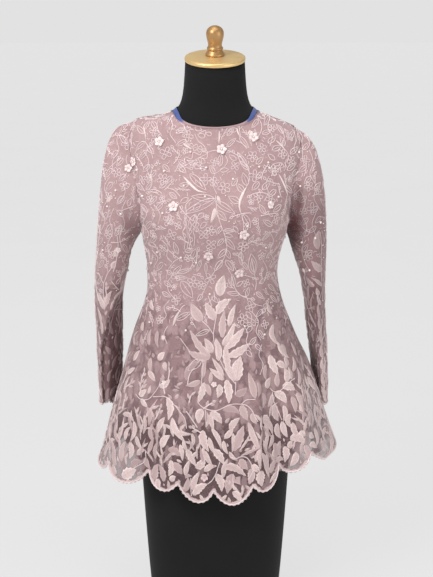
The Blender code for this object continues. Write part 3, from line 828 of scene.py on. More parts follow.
# Places are millimetres across from the middle and up from the floor, as seen straight on.
# A row is its places, x and z in turn, and then: for leaves a width and how bright the satin is, for strokes
# and open leaves a width, for lobed leaves a width and the lobes, for loops a radius, and for flowers a
# radius and how bright they are.
plans = {
    "front": {
        "leaves": (
            (9, 650, 11, 672, 17, 692, 16.4, 1), (4, 617, 14, 635, 31, 645, 15.5, 1),
            (1, 606, -10, 623, -18, 639, 16.4, 0.8), (-24, 604, -36, 618, -45, 636, 16.4, 0.6),
            (26, 593, 31, 615, 39, 635, 9.1, 1), (14, 573, 14, 599, 18, 624, 12.7, 0.6),
            (21, 562, 29, 580, 38, 602, 9.1, 1), (21, 553, 38, 571, 56, 591, 14.6, 1),
            (24, 540, 43, 547, 66, 562, 14.6, 0.9), (14, 559, 22, 571, 31, 586, 9.1, 0.9),
            (6, 531, 7, 551, 1, 574, 10.9, 0.9), (26, 518, 21, 540, 20, 562, 12.7, 0.9),
            (38, 495, 28, 513, 18, 531, 12.7, 0.9), (41, 495, 44, 517, 48, 541, 17.3, 1),
            (35, 511, 41, 527, 47, 537, 10.9, 1), (-6, 545, -11, 559, -20, 573, 11.8, 0.8),
            (-8, 540, -29, 557, -48, 588, 11.8, 0.6), (-9, 538, -30, 539, -51, 549, 14.6, 0.5),
            (-23, 500, -21, 520, -16, 536, 7.3, 0.5), (17, 502, 6, 520, -6, 538, 8.2, 0.9),
            (18, 496, 3, 508, -11, 519, 9.1, 0.9), (-9, 489, -8, 503, -6, 516, 6.2, 0.7),
            (7, 489, 9, 477, 5, 464, 11.8, 1), (-20, 492, -25, 472, -33, 453, 11.8, 0.9),
            (-17, 489, -13, 479, -8, 467, 9.1, 0.5), (21, 497, 26, 476, 26, 453, 14.6, 1),
            (37, 470, 50, 474, 61, 484, 12.7, 0.2), (76, 463, 70, 488, 63, 511, 11.8, 0.45),
            (-27, 495, -41, 489, -56, 487, 9.1, 0.5), (-55, 496, -48, 518, -25, 534, 10.9, 0.15),
            (-24, 443, -30, 431, -31, 415, 13.7, 1), (-10, 437, 3, 430, 13, 416, 13.7, 0.9),
            (-9, 434, -7, 419, -2, 403, 8.2, 0.9), (14, 441, 32, 444, 47, 435, 10.9, 0.25),
            (28, 404, 35, 417, 47, 428, 11.8, 0.8), (50, 452, 54, 438, 62, 423, 13.7, 0.5),
            (71, 438, 72, 427, 79, 417, 9.1, 0.6), (62, 421, 71, 399, 79, 371, 8.2, 0.7),
            (90, 421, 104, 409, 110, 389, 10.9, 0.7), (110, 391, 108, 377, 101, 367, 8.2, 0.6),
            (-17, 409, -12, 424, -16, 439, 4.7, 0.8), (-81, 427, -76, 407, -56, 384, 10.9, 1),
            (-71, 403, -57, 400, -44, 397, 7.3, 1), (-44, 399, -41, 383, -49, 366, 6.6, 1),
            (-59, 389, -58, 377, -52, 365, 6.6, 1), (-66, 380, -63, 365, -61, 347, 7.6, 1),
            (-54, 370, -46, 353, -36, 334, 11.6, 1), (-38, 333, -27, 337, -20, 350, 14.6, 0.9),
            (-56, 318, -54, 334, -48, 348, 8.7, 1), (-41, 287, -40, 305, -29, 325, 10.2, 0.9),
            (-42, 279, -30, 293, -14, 301, 14.6, 1), (-21, 324, -10, 335, 4, 337, 9.8, 0.9),
            (1, 321, 11, 305, 13, 285, 13.7, 1), (-23, 403, -22, 382, -12, 363, 15.5, 0.9),
            (-7, 408, 6, 389, 12, 367, 8, 1), (-12, 391, -8, 376, -1, 360, 8.4, 0.9),
            (-4, 369, 8, 356, 17, 338, 13.8, 1), (-21, 365, -14, 349, -4, 337, 9.8, 0.8),
            (17, 387, 27, 397, 35, 411, 9.1, 0.9), (16, 384, 18, 369, 25, 357, 7.3, 1),
            (34, 399, 35, 380, 32, 361, 6.9, 1), (27, 363, 32, 354, 43, 348, 7.3, 0.8),
            (34, 365, 45, 389, 54, 414, 17.3, 0.45), (16, 312, 17, 331, 25, 350, 8.4, 0.8),
            (16, 331, 37, 334, 59, 319, 14.6, 0.7), (49, 352, 53, 341, 62, 332, 14.6, 0.4),
            (68, 340, 76, 336, 86, 326, 11.6, 1), (67, 334, 69, 320, 64, 304, 13.5, 0.6),
            (64, 414, 71, 396, 89, 363, 9.8, 0.8), (89, 365, 94, 348, 94, 331, 9.1, 0.8),
            (87, 371, 84, 353, 86, 332, 8, 0.8), (102, 396, 96, 376, 98, 355, 8.4, 0.8),
            (98, 361, 98, 336, 103, 312, 9.5, 0.7), (89, 330, 86, 315, 89, 299, 17.1, 0.9),
            (35, 321, 27, 302, 23, 281, 16.4, 0.4), (38, 314, 53, 308, 67, 292, 21.8, 0.4),
            (33, 286, 43, 280, 49, 268, 12.7, 1), (-33, 362, -40, 355, -42, 347, 6.2, 0.9),
            (-148, 456, -140, 460, -131, 470, 10.9, 1), (-143, 449, -137, 444, -129, 437, 9.1, 1),
            (-128, 505, -121, 496, -114, 486, 9.1, 0.8), (-107, 479, -96, 483, -85, 495, 10.2, 1),
            (-91, 462, -84, 443, -89, 420, 13.8, 1), (-107, 398, -104, 411, -95, 425, 9.8, 0.9),
            (-102, 367, -97, 383, -85, 394, 12.7, 1), (-89, 367, -77, 368, -63, 356, 12, 0.35),
            (-152, 378, -148, 366, -138, 358, 10.2, 0.9), (-151, 342, -144, 353, -133, 358, 9.8, 0.8),
            (-163, 316, -152, 329, -138, 333, 11.6, 0.2), (-181, 292, -167, 304, -152, 314, 20, 1),
            (-133, 343, -132, 331, -124, 321, 10.2, 0.4), (-116, 303, -114, 323, -108, 336, 16.4, 0.4),
            (-97, 306, -100, 324, -107, 336, 12.7, 0.35), (-107, 309, -109, 299, -107, 290, 11.6, 0.9),
            (-84, 349, -82, 334, -88, 318, 12.7, 1), (-80, 344, -72, 337, -62, 322, 14.6, 0.4),
            (-84, 309, -80, 316, -74, 319, 9.8, 1), (-70, 415, -62, 431, -54, 410, 7.3, 0.3),
            (-157, 405, -155, 385, -165, 363, 8.4, 0.9), (-180, 411, -167, 414, -156, 402, 8.4, 0.8),
            (-175, 364, -171, 383, -162, 393, 7.6, 0.9), (-165, 364, -161, 348, -166, 331, 12, 0.9),
            (-182, 321, -182, 344, -173, 364, 10.2, 0.6), (-193, 392, -196, 370, -188, 356, 9.1, 0.45),
            (-204, 352, -199, 339, -203, 321, 10.2, 0.5), (-222, 312, -215, 331, -203, 352, 10.9, 0.55),
            (-193, 311, -198, 326, -192, 345, 10.2, 0.5), (-172, 484, -162, 495, -154, 502, 8.4, 0.9),
            (-178, 447, -174, 467, -165, 484, 7.6, 0.7), (-159, 512, -153, 524, -145, 536, 9.8, 0.9),
            (-107, 525, -103, 535, -95, 543, 10.2, 1), (-94, 525, -96, 516, -92, 509, 8, 0.8),
            (-122, 631, -124, 622, -118, 613, 9.1, 1), (-138, 586, -142, 578, -139, 571, 9.8, 1),
            (-126, 550, -128, 565, -122, 581, 8, 0.35), (-110, 580, -112, 562, -108, 548, 7.3, 0.3),
            (-98, 573, -100, 568, -96, 564, 6.6, 1), (-139, 548, -143, 557, -141, 566, 7.3, 0.4),
            (-157, 539, -159, 552, -149, 567, 7.3, 0.5), (-122, 529, -125, 516, -123, 501, 7.3, 0.5),
            (-177, 490, -175, 503, -164, 526, 7.3, 0.5), (-130, 438, -124, 423, -127, 403, 8.4, 0.4),
            (-192, 427, -189, 445, -181, 465, 8, 0.45), (-204, 385, -201, 403, -191, 424, 8.4, 0.45),
            (-213, 346, -212, 364, -205, 387, 8, 0.4), (-144, 393, -147, 411, -142, 429, 7.3, 0.35),
            (-120, 376, -124, 393, -118, 411, 7.6, 0.4), (-128, 351, -122, 369, -117, 384, 7.3, 0.35),
            (-113, 343, -115, 359, -109, 378, 8, 0.35), (-152, 294, -142, 304, -130, 309, 10.9, 0.7),
            (-205, 309, -216, 302, -220, 307, 10.2, 0.6), (-192, 296, -198, 302, -199, 315, 10.9, 0.7),
            (-69, 299, -63, 314, -55, 321, 11.6, 0.5), (-58, 287, -52, 302, -51, 315, 10.2, 0.45),
            (129, 473, 141, 475, 154, 465, 15.7, 1), (113, 465, 127, 458, 137, 443, 13.8, 1),
            (100, 475, 100, 486, 106, 495, 10.2, 0.7), (109, 464, 108, 452, 100, 442, 9.8, 0.6),
            (137, 482, 138, 496, 133, 510, 11.6, 0.9), (180, 474, 190, 457, 200, 439, 12.7, 1),
            (186, 452, 178, 470, 175, 483, 8.4, 0.9), (174, 457, 184, 440, 189, 424, 9.1, 0.9),
            (166, 390, 168, 384, 174, 378, 10.2, 1), (181, 381, 186, 376, 193, 368, 10.9, 1),
            (144, 373, 158, 378, 174, 364, 14.6, 0.9), (145, 356, 144, 365, 149, 372, 9.1, 0.8),
            (133, 362, 137, 347, 134, 331, 13.5, 0.9), (156, 349, 154, 334, 144, 322, 12, 0.9),
            (162, 350, 172, 338, 177, 321, 16.4, 0.5), (112, 589, 108, 572, 122, 550, 10.2, 0.8),
            (120, 553, 130, 537, 143, 523, 10.2, 0.9), (101, 628, 103, 618, 110, 606, 8.4, 0.8),
            (104, 536, 110, 518, 121, 497, 14.6, 1), (118, 521, 126, 517, 136, 508, 10.9, 0.9),
            (133, 529, 138, 517, 136, 507, 9.1, 0.7), (128, 551, 133, 541, 138, 529, 8.4, 0.6),
            (118, 558, 125, 546, 131, 528, 6.6, 0.9), (150, 498, 154, 510, 150, 524, 8, 0.6),
            (161, 472, 164, 487, 158, 504, 8.4, 0.6), (147, 485, 145, 498, 140, 510, 7.3, 0.7),
            (120, 475, 118, 490, 121, 503, 9.1, 0.5), (156, 460, 165, 445, 167, 428, 10.2, 0.6),
            (146, 455, 153, 440, 155, 423, 9.8, 0.5), (117, 442, 114, 428, 121, 411, 14.6, 0.6),
            (131, 440, 135, 424, 131, 408, 8.4, 0.9), (145, 423, 139, 410, 147, 395, 9.1, 0.8),
            (128, 410, 132, 392, 139, 378, 10.9, 0.9), (120, 408, 118, 393, 126, 378, 10.9, 0.7),
            (149, 406, 152, 391, 162, 377, 9.8, 0.8), (90, 422, 96, 424, 105, 415, 11.6, 0.9),
            (100, 411, 98, 397, 101, 382, 8, 0.8), (112, 374, 116, 361, 112, 348, 11.6, 0.35),
            (125, 374, 121, 360, 126, 342, 9.1, 0.5), (113, 342, 118, 355, 128, 363, 10.2, 0.4),
            (197, 418, 197, 399, 206, 375, 10.9, 0.8), (211, 392, 206, 380, 215, 357, 9.1, 0.8),
            (221, 366, 214, 356, 222, 337, 9.8, 0.8), (192, 384, 200, 364, 197, 351, 13.5, 0.9),
            (210, 356, 210, 344, 219, 325, 10.9, 0.8), (232, 341, 234, 327, 228, 318, 9.8, 0.9),
            (183, 354, 189, 358, 199, 347, 10.9, 0.9), (203, 427, 210, 406, 209, 398, 8.4, 0.8),
            (184, 422, 191, 402, 187, 388, 8.4, 0.5), (173, 488, 170, 505, 166, 519, 8, 0.5),
            (158, 522, 153, 536, 146, 549, 7.3, 0.5), (97, 520, 94, 505, 98, 490, 7.3, 0.4),
            (90, 471, 94, 456, 90, 442, 8.4, 0.35), (81, 493, 85, 479, 82, 465, 8, 0.3),
            (172, 360, 180, 346, 178, 331, 10.9, 0.6), (116, 337, 124, 341, 132, 336, 9.1, 0.6),
            (105, 320, 110, 334, 116, 342, 11.6, 0.5), (75, 298, 78, 314, 83, 326, 10.9, 0.5),
        ),
        "stems": (
            (7, 647, 8, 638, 4, 621, 1, 606, -3, 579, 0, 559), (-24, 604, -12, 593, -3, 580), (-2, 659, 0, 643),
            (2, 570, 3, 548, 13, 526, 26, 504, 40, 489), (39, 494, 39, 482, 38, 470),
            (-23, 535, -23, 518, -25, 496, -27, 474),
            (-32, 454, -20, 444, 3, 441, 28, 451, 48, 453, 60, 451, 69, 443, 75, 432, 81, 422),
            (-18, 441, -17, 425, -17, 409), (50, 453, 59, 461, 76, 462),
            (-153, 455, -145, 449, -135, 450, -125, 454, -115, 466, -107, 479, -104, 488),
            (-118, 458, -107, 460, -97, 462, -89, 460, -80, 453, -70, 444, -57, 429, -54, 410),
            (104, 476, 110, 469, 115, 467, 122, 467, 129, 471, 141, 481, 153, 486),
            (109, 467, 111, 452, 118, 436, 128, 412), (137, 482, 133, 475),
            (30, 353, 39, 351, 48, 355, 60, 354, 68, 344, 71, 333), (-14, 301, -6, 308, 0, 319, 5, 333, 9, 343),
            (-46, 313, -46, 296, -45, 278), (-133, 342, -137, 331, -151, 320, -165, 309), (-133, 357, -132, 342),
            (35, 321, 34, 309, 36, 290), (74, 345, 71, 329, 64, 314), (-80, 592, -72, 610, -63, 627, -57, 632),
            (32, 689, 36, 669, 47, 652, 59, 647, 62, 639), (-39, 518, -48, 507, -52, 489), (-13, 651, -6, 632),
        ),
        "open": (
            (21, 929, 39, 945, 7.3), (45, 948, 62, 927, 8.4), (9, 895, 11, 918, 9.1), (9, 888, 25, 890, 8.4),
            (-1, 882, -9, 897, 8.4), (-46, 882, -16, 854, 12.7), (-48, 863, -66, 862, 9.1), (1, 839, -57, 812, 14.6),
            (-1, 839, -43, 843, 12.7), (1, 835, 37, 813, 11.6), (3, 818, 21, 801, 11.6), (59, 861, 51, 884, 11.6),
            (53, 850, 40, 865, 10.9), (45, 832, 25, 843, 12), (51, 812, 65, 786, 11.6), (59, 893, 41, 920, 9.8),
            (63, 888, 45, 905, 8), (12, 791, 3, 775, 7.3), (16, 783, 37, 782, 6.6), (17, 775, 33, 771, 7.3),
            (16, 767, 4, 752, 8), (19, 767, 37, 744, 10.2), (22, 746, 5, 727, 10.2), (21, 744, 28, 725, 8),
            (14, 723, -1, 700, 10.2), (20, 723, 35, 700, 10.2), (48, 739, 49, 711, 8.4), (-26, 723, -34, 698, 6.2),
            (-17, 717, -17, 694, 5.5), (-43, 725, -35, 746, 9.8), (-56, 739, -40, 746, 8.4),
            (-69, 733, -76, 758, 9.1), (-80, 688, -62, 711, 8), (-72, 693, -43, 704, 8), (-76, 685, -51, 685, 7.3),
            (-64, 678, -42, 646, 18.2), (47, 653, 22, 657, 8.4), (36, 669, 32, 694, 7.3), (59, 647, 64, 665, 7.3),
            (74, 690, 67, 734, 18.2), (74, 694, 69, 724, 10.2), (-73, 603, -45, 620, 10.2), (-10, 588, -37, 577, 8.4),
            (-26, 534, -51, 514, 14.6), (53, 779, 61, 797, 7.3), (42, 779, 33, 791, 7.3), (-130, 936, -148, 920, 9.1),
            (-126, 928, -113, 915, 9.1), (-132, 950, -146, 963, 9.1), (-132, 957, -122, 972, 8.4),
            (-118, 972, -106, 956, 9.1), (-126, 921, -142, 902, 9.1), (-81, 962, -72, 965, 8.4),
            (-72, 953, -55, 964, 9.1), (-52, 941, -72, 930, 9.1), (-69, 958, -50, 957, 8), (-37, 963, -24, 959, 8.4),
            (-18, 947, -32, 951, 8.4), (-6, 951, -17, 954, 7.3), (22, 949, 35, 962, 7.3), (41, 960, 24, 958, 8.4),
            (80, 976, 68, 962, 8), (91, 965, 103, 979, 8.4), (87, 951, 104, 956, 8.4), (98, 935, 113, 945, 9.1),
            (106, 922, 123, 928, 9.8), (130, 928, 121, 946, 8.7), (140, 913, 156, 924, 9.1),
            (127, 949, 114, 967, 9.1), (136, 938, 149, 953, 9.1), (156, 904, 162, 921, 8.4),
            (102, 886, 125, 898, 12.7), (134, 884, 152, 895, 9.8), (87, 853, 102, 867, 9.8), (81, 867, 68, 853, 9.8),
            (113, 851, 98, 840, 9.1), (123, 822, 107, 812, 9.8), (92, 810, 81, 828, 9.1), (106, 786, 88, 799, 9.1),
            (87, 760, 102, 772, 7.3), (61, 756, 72, 772, 7.3), (96, 720, 109, 736, 8.4), (105, 696, 119, 708, 8),
            (-96, 896, -83, 884, 9.1), (-109, 886, -121, 871, 9.1), (-121, 895, -134, 881, 9.1),
            (-128, 849, -115, 865, 9.1), (-107, 840, -121, 824, 9.1), (-96, 829, -111, 813, 9.1),
            (-125, 809, -139, 821, 9.1), (-102, 855, -87, 868, 9.1), (-83, 848, -70, 838, 8.4),
            (-117, 792, -132, 771, 9.1), (-108, 765, -123, 747, 9.1), (-128, 725, -137, 735, 8),
            (-98, 712, -111, 691, 8.4), (-123, 705, -131, 680, 8), (-97, 673, -82, 664, 9.1),
            (-101, 651, -84, 644, 8.4), (-126, 654, -134, 630, 8.4), (-6, 651, 6, 638, 7.3),
            (-23, 654, -34, 641, 7.3), (84, 670, 97, 680, 8), (78, 654, 92, 640, 8), (101, 664, 116, 646, 8),
            (90, 620, 78, 608, 8), (106, 641, 120, 624, 8), (59, 619, 70, 605, 8.4), (70, 592, 59, 581, 8.4),
            (82, 584, 93, 566, 8.4), (76, 559, 89, 545, 8.4), (59, 550, 70, 537, 8), (-53, 896, -68, 906, 9.1),
            (-33, 906, -46, 892, 9.1), (-18, 901, -31, 910, 8.4), (-49, 840, -64, 831, 8.7),
            (-27, 830, -40, 819, 9.1), (-20, 814, -33, 804, 8.4), (-16, 798, -27, 787, 8), (-79, 877, -92, 863, 9.1),
            (-66, 895, -53, 883, 9.1), (-90, 812, -77, 825, 8.4), (39, 906, 26, 915, 8), (76, 898, 89, 910, 8.7),
            (87, 884, 76, 871, 8.7), (31, 861, 42, 875, 8), (-147, 857, -132, 848, 9.1), (-151, 872, -144, 887, 9.1),
            (-143, 835, -143, 821, 9.1), (-131, 796, -141, 778, 8.4), (111, 904, 98, 915, 8.4),
            (144, 872, 154, 883, 9.1), (130, 856, 145, 840, 9.1), (147, 846, 144, 834, 9.1), (66, 559, 78, 572, 8),
            (40, 669, 53, 678, 7.3), (24, 676, 13, 662, 7.3), (52, 717, 62, 700, 7.3),
        ),
        "lobed": (
            (-14, 918, -75, 885, 27.3, 4), (-17, 922, -59, 935, 12.7, 5), (-18, 889, -52, 906, 12.7, 3),
            (-46, 745, -53, 809, 16.4, 4), (-33, 780, -37, 812, 10.9, 3), (126, 896, 104, 876, 14.6, 3),
            (-66, 680, -93, 697, 14.6, 3), (-121, 929, -102, 951, 10.9, 3), (144, 936, 129, 958, 10.9, 3),
            (82, 602, 59, 593, 12.7, 3), (101, 634, 90, 611, 10.9, 3),
        ),
        "loops": (
            (-17, 873, 11.6), (17, 858, 12), (73, 878, 11.6), (69, 912, 10.9), (-91, 917, 12.7), (-97, 871, 11.6),
            (-86, 798, 11.6), (52, 750, 11.3), (-21, 775, 10.6), (-8, 782, 9.8), (-7, 755, 11.3), (-41, 677, 12),
            (-9, 685, 12), (-26, 671, 9.1), (-80, 772, 10.9), (-83, 801, 9.8), (67, 628, 10.9), (53, 606, 11.6),
            (109, 886, 10.9), (142, 900, 10.9), (-50, 948, 10.9), (-123, 871, 9.1), (102, 834, 10.9), (125, 914, 9.8),
            (-68, 790, 8.4), (79, 841, 9.8), (-97, 742, 9.1), (-121, 832, 9.8), (-136, 866, 9.8), (-1, 868, 9.5),
            (37, 896, 9.1), (87, 926, 9.1), (113, 796, 9.5), (88, 726, 9.1), (-74, 640, 9.8), (-105, 599, 9.1),
            (95, 592, 9.1), (-50, 726, 8.4), (-113, 954, 9.1), (106, 961, 9.1), (0, 903, 8.4), (101, 682, 9.1),
            (59, 674, 8.4), (-116, 768, 9.1),
        ),
        "flowers": (
            (12, 925, 11.6, 1), (71, 946, 10.9, 1), (65, 953, 6.2, 1), (-103, 937, 10.9, 1), (-113, 979, 6.2, 1),
            (-153, 897, 10.9, 1), (-76, 824, 11.6, 1), (53, 774, 11.3, 0.8), (-12, 732, 10.9, 0.7),
            (45, 695, 10.9, 0.7), (102, 825, 8.4, 1), (160, 908, 8.4, 1), (-2, 489, 6.6, 0.9), (-97, 569, 4.7, 0.9),
            (-97, 487, 5.5, 0.9), (-20, 313, 9.1, 0.2),
        ),
        "pearls": (
            (98, 900), (-26, 891), (-145, 883), (-108, 732), (-121, 704), (-112, 671), (-10, 655), (94, 744),
            (94, 574), (133, 750), (-16, 893), (103, 829), (101, 820), (-18, 843), (33, 873), (81, 893), (-96, 811),
            (-45, 920), (26, 643), (-55, 586), (-125, 591), (100, 890), (-63, 727), (56, 593), (157, 914), (117, 838),
            (-134, 837), (-94, 885), (-57, 861), (59, 790), (-35, 718), (-131, 683),
        ),
        "strokes": (
            (-59, 878, -45, 864, -31, 853, -14, 850, 4.7), (59, 861, 51, 848, 45, 833, 45, 822, 49, 810, 4.7),
            (5, 845, 7, 838, 11, 830, 6.2), (0, 824, -2, 811, -8, 797, 8), (-80, 592, -75, 606, -67, 622, 5.8),
            (118, 879, 128, 860, 137, 833, 3.3), (134, 883, 146, 873, 150, 862, 2.7),
            (-133, 963, -130, 950, -129, 936, 2.5), (40, 964, 42, 956, 46, 947, 2.9), (8, 958, 8, 947, 7, 935, 2.9),
            (-59, 935, -50, 929, -42, 926, 3.6), (-24, 860, -29, 870, 2.2), (113, 939, 123, 930, 132, 919, 3.3),
            (-148, 854, -149, 868, -144, 880, 3.3),
        ),
        "waves": (
            (-13, 918, -20, 931, -31, 940, -37, 952), (-15, 919, -4, 923, 7, 923),
            (19, 914, 23, 905, 17, 894, 9, 888, -1, 880, -4, 865, 3, 848), (-130, 936, -120, 922, -115, 907),
            (41, 920, 52, 906, 59, 893, 65, 880),
            (1, 845, 3, 824, 7, 805, 13, 787, 18, 773, 22, 746, 14, 721, 1, 702, -9, 686, -16, 671, -23, 656, -32,
             640), (59, 861, 63, 871, 62, 881), (49, 810, 52, 798, 53, 779), (52, 763, 49, 741, 49, 718),
            (-57, 744, -55, 763, -59, 779, -53, 794, -56, 808, -46, 816),
            (-48, 745, -45, 761, -48, 777, -43, 791, -46, 803, -37, 812),
            (-39, 751, -37, 768, -40, 783, -33, 798, -35, 813), (74, 690, 78, 673, 76, 658),
            (-4, 649, -12, 638, -23, 632), (-63, 727, -77, 716, -89, 697, -92, 678),
            (-80, 688, -89, 673, -88, 655, -74, 640), (-99, 759, -88, 746, -90, 726, -81, 715),
            (100, 876, 94, 863, 98, 847, 90, 833), (121, 960, 129, 944, 125, 930, 136, 913, 134, 897),
            (145, 955, 152, 937, 148, 921, 157, 903), (103, 979, 98, 963, 106, 947, 102, 929),
            (80, 979, 87, 963, 80, 946), (-103, 978, -108, 963, -98, 947), (-84, 980, -78, 965, -83, 951, -72, 936),
            (-57, 966, -49, 951, -50, 952), (-30, 953, -17, 958, -20, 945),
            (-146, 920, -154, 900, -148, 883, -150, 865), (-134, 921, -123, 903, -126, 885, -117, 868, -121, 850),
            (-139, 817, -127, 805, -134, 783, -124, 765, -132, 740), (-113, 824, -101, 809, -105, 790),
            (-119, 733, -108, 719, -117, 695), (24, 706, 32, 690), (100, 777, 109, 754, 104, 734, 113, 706),
            (90, 717, 99, 693, 93, 674), (66, 644, 76, 632, 90, 626), (53, 596, 62, 580, 59, 565, 68, 549),
            (39, 940, 50, 935, 59, 926), (-42, 840, -53, 828, -51, 812), (-64, 843, -75, 853, -87, 856),
            (-86, 638, -97, 623, -93, 608, -105, 593), (-66, 571, -55, 558, -47, 547),
            (70, 618, 82, 600, 78, 582, 87, 565), (89, 557, 83, 540, 91, 521, 85, 504),
            (-90, 590, -97, 575, -91, 559),
        ),
    },
    "sleeve_left": {
        "leaves": (
            (-206, 820, -200, 827, -194, 834, 6.6, 1), (-188, 714, -189, 725, -186, 736, 8.7, 1),
            (-193, 691, -195, 699, -189, 708, 9.1, 0.9), (-215, 606, -223, 625, -227, 642, 12.7, 1),
            (-215, 612, -208, 633, -200, 646, 11.6, 1), (-197, 624, -193, 632, -187, 639, 5.8, 1),
            (-204, 605, -200, 617, -196, 629, 6.2, 0.8), (-224, 578, -227, 594, -231, 609, 8.4, 0.8),
            (-223, 552, -223, 572, -228, 587, 8.4, 0.7), (-227, 520, -229, 539, -233, 556, 8.4, 0.7),
            (-226, 489, -229, 508, -232, 526, 8.7, 0.6), (-226, 456, -228, 478, -232, 495, 8.7, 0.6),
            (-225, 423, -227, 444, -231, 464, 8.7, 0.6), (-219, 523, -213, 517, -208, 504, 9.1, 0.5),
            (-202, 548, -207, 565, -204, 581, 6.2, 0.4), (-196, 514, -199, 533, -195, 552, 6.2, 0.4),
            (-206, 474, -202, 490, -196, 501, 7.3, 0.4), (-215, 444, -213, 462, -206, 473, 7.3, 0.4),
            (-199, 438, -200, 457, -195, 475, 6.6, 0.4), (-212, 412, -206, 426, -199, 431, 9.1, 0.5),
            (-193, 544, -190, 562, -192, 583, 5.5, 0.5), (-190, 573, -191, 593, -187, 609, 5.5, 0.6),
            (-221, 399, -220, 416, -214, 432, 8, 0.4),
        ),
        "stems": (
            (-225, 680, -220, 671, -215, 662, -207, 681, -197, 696), (-215, 662, -216, 643, -215, 616),
            (-185, 636, -199, 599, -211, 550), (-186, 757, -185, 737, -190, 705, -196, 685),
        ),
        "open": (
            (-166, 928, -180, 946, 9.1), (-172, 939, -161, 950, 9.1), (-183, 917, -195, 902, 9.1),
            (-173, 903, -185, 888, 9.1), (-194, 884, -207, 866, 9.1), (-167, 874, -181, 861, 9.1),
            (-160, 856, -175, 847, 9.1), (-193, 859, -205, 841, 9.1), (-171, 834, -185, 818, 9.1),
            (-203, 802, -216, 783, 9.1), (-185, 807, -172, 794, 9.1), (-164, 815, -158, 830, 7.3),
            (-195, 780, -207, 762, 9.1), (-178, 777, -190, 757, 9.1), (-214, 751, -226, 732, 8.4),
            (-198, 741, -210, 725, 9.1), (-176, 740, -170, 718, 8.4), (-179, 702, -172, 717, 7.3),
            (-213, 708, -224, 690, 8.4), (-184, 673, -175, 687, 8), (-192, 658, -183, 670, 8),
            (-228, 656, -216, 676, 7.3),
        ),
        "loops": (
            (-166, 928, 10.9), (-185, 877, 9.8), (-180, 769, 10.2), (-203, 760, 9.1), (-171, 852, 9.1),
            (-201, 832, 9.1), (-177, 688, 9.1), (-197, 720, 8.4),
        ),
        "flowers": (
            (-163, 885, 9.1, 1), (-185, 729, 6.6, 1),
        ),
        "pearls": (
            (-173, 676), (-203, 813), (-187, 844), (-214, 728), (-178, 800),
        ),
        "waves": (
            (-176, 955, -185, 937, -181, 917, -193, 897, -191, 877),
            (-165, 909, -167, 900, -164, 882, -173, 861, -169, 841, -179, 821),
            (-198, 869, -209, 848, -203, 828, -213, 804, -209, 783, -220, 757),
            (-168, 826, -176, 804, -171, 780, -181, 757, -178, 728),
            (-191, 811, -199, 788, -194, 765, -204, 741, -201, 718),
        ),
    },
    "sleeve_right": {
        "leaves": (
            (198, 729, 194, 748, 199, 767, 13.5, 0.6), (207, 685, 196, 695, 184, 708, 13.5, 0.85),
            (164, 681, 162, 690, 165, 705, 9.8, 0.8), (208, 653, 196, 667, 183, 675, 6.2, 1),
            (192, 656, 182, 662, 176, 674, 11.6, 0.8), (203, 638, 198, 644, 196, 653, 8, 1),
            (207, 615, 200, 629, 200, 644, 7.3, 1), (205, 588, 200, 606, 201, 623, 7.3, 0.9),
            (209, 560, 203, 580, 205, 599, 8, 0.8), (214, 528, 208, 549, 209, 568, 8.7, 0.8),
            (216, 497, 210, 519, 213, 537, 8.7, 0.8), (220, 465, 213, 488, 215, 508, 9.1, 0.9),
            (222, 431, 215, 457, 217, 478, 9.1, 0.9), (226, 397, 219, 424, 222, 445, 9.1, 0.9),
            (185, 624, 181, 640, 183, 659, 6.6, 0.7), (192, 596, 187, 612, 189, 633, 5.8, 0.6),
            (184, 609, 182, 625, 180, 640, 5.5, 0.4), (192, 522, 189, 542, 190, 563, 5.5, 0.35),
            (198, 453, 196, 473, 195, 502, 5.5, 0.35),
        ),
        "stems": (
            (200, 763, 204, 727, 204, 687, 208, 645), (208, 645, 201, 619, 207, 583, 212, 539),
        ),
        "open": (
            (164, 930, 153, 953, 9.1), (166, 917, 179, 930, 8.4), (172, 888, 158, 878, 9.1),
            (181, 869, 168, 856, 9.1), (187, 843, 200, 856, 9.1), (172, 833, 158, 821, 9.1),
            (196, 812, 182, 801, 9.1), (176, 792, 163, 778, 9.1), (202, 792, 190, 781, 8.4),
            (169, 757, 180, 770, 9.1), (185, 729, 172, 715, 9.1), (192, 775, 178, 763, 8.4),
            (209, 809, 200, 826, 7.3), (168, 724, 177, 741, 8.4), (210, 729, 216, 741, 6.6),
            (214, 698, 216, 713, 5.5), (216, 658, 211, 684, 5.5),
        ),
        "loops": (
            (184, 809, 12), (177, 851, 9.8), (170, 899, 9.8), (178, 717, 9.8), (195, 842, 8.4), (166, 804, 8.4),
        ),
        "flowers": (
            (172, 686, 5.5, 1),
        ),
        "pearls": (
            (166, 744), (190, 752), (182, 689), (200, 781), (160, 852),
        ),
        "waves": (
            (157, 948, 164, 930, 165, 901, 172, 890, 168, 870),
            (178, 917, 185, 895, 179, 873, 191, 850, 187, 828, 200, 804),
            (160, 845, 170, 822, 164, 800, 174, 776, 169, 753), (183, 832, 193, 835, 204, 832),
            (192, 802, 184, 780, 192, 756), (173, 749, 166, 728, 173, 704, 183, 685),
        ),
    },
}
planTail = {  # how many numbers follow a row's places; this is also the order in which the kinds are sewn
    "leaves": 2, "strokes": 1, "stems": 0, "waves": 0, "open": 1, "lobed": 2, "loops": 1, "flowers": 2, "pearls": 0,
}
motifRoom = {"loops": 4, "flowers": 4, "pearls": 8}  # how far round motifs stay from the zip, past their radius


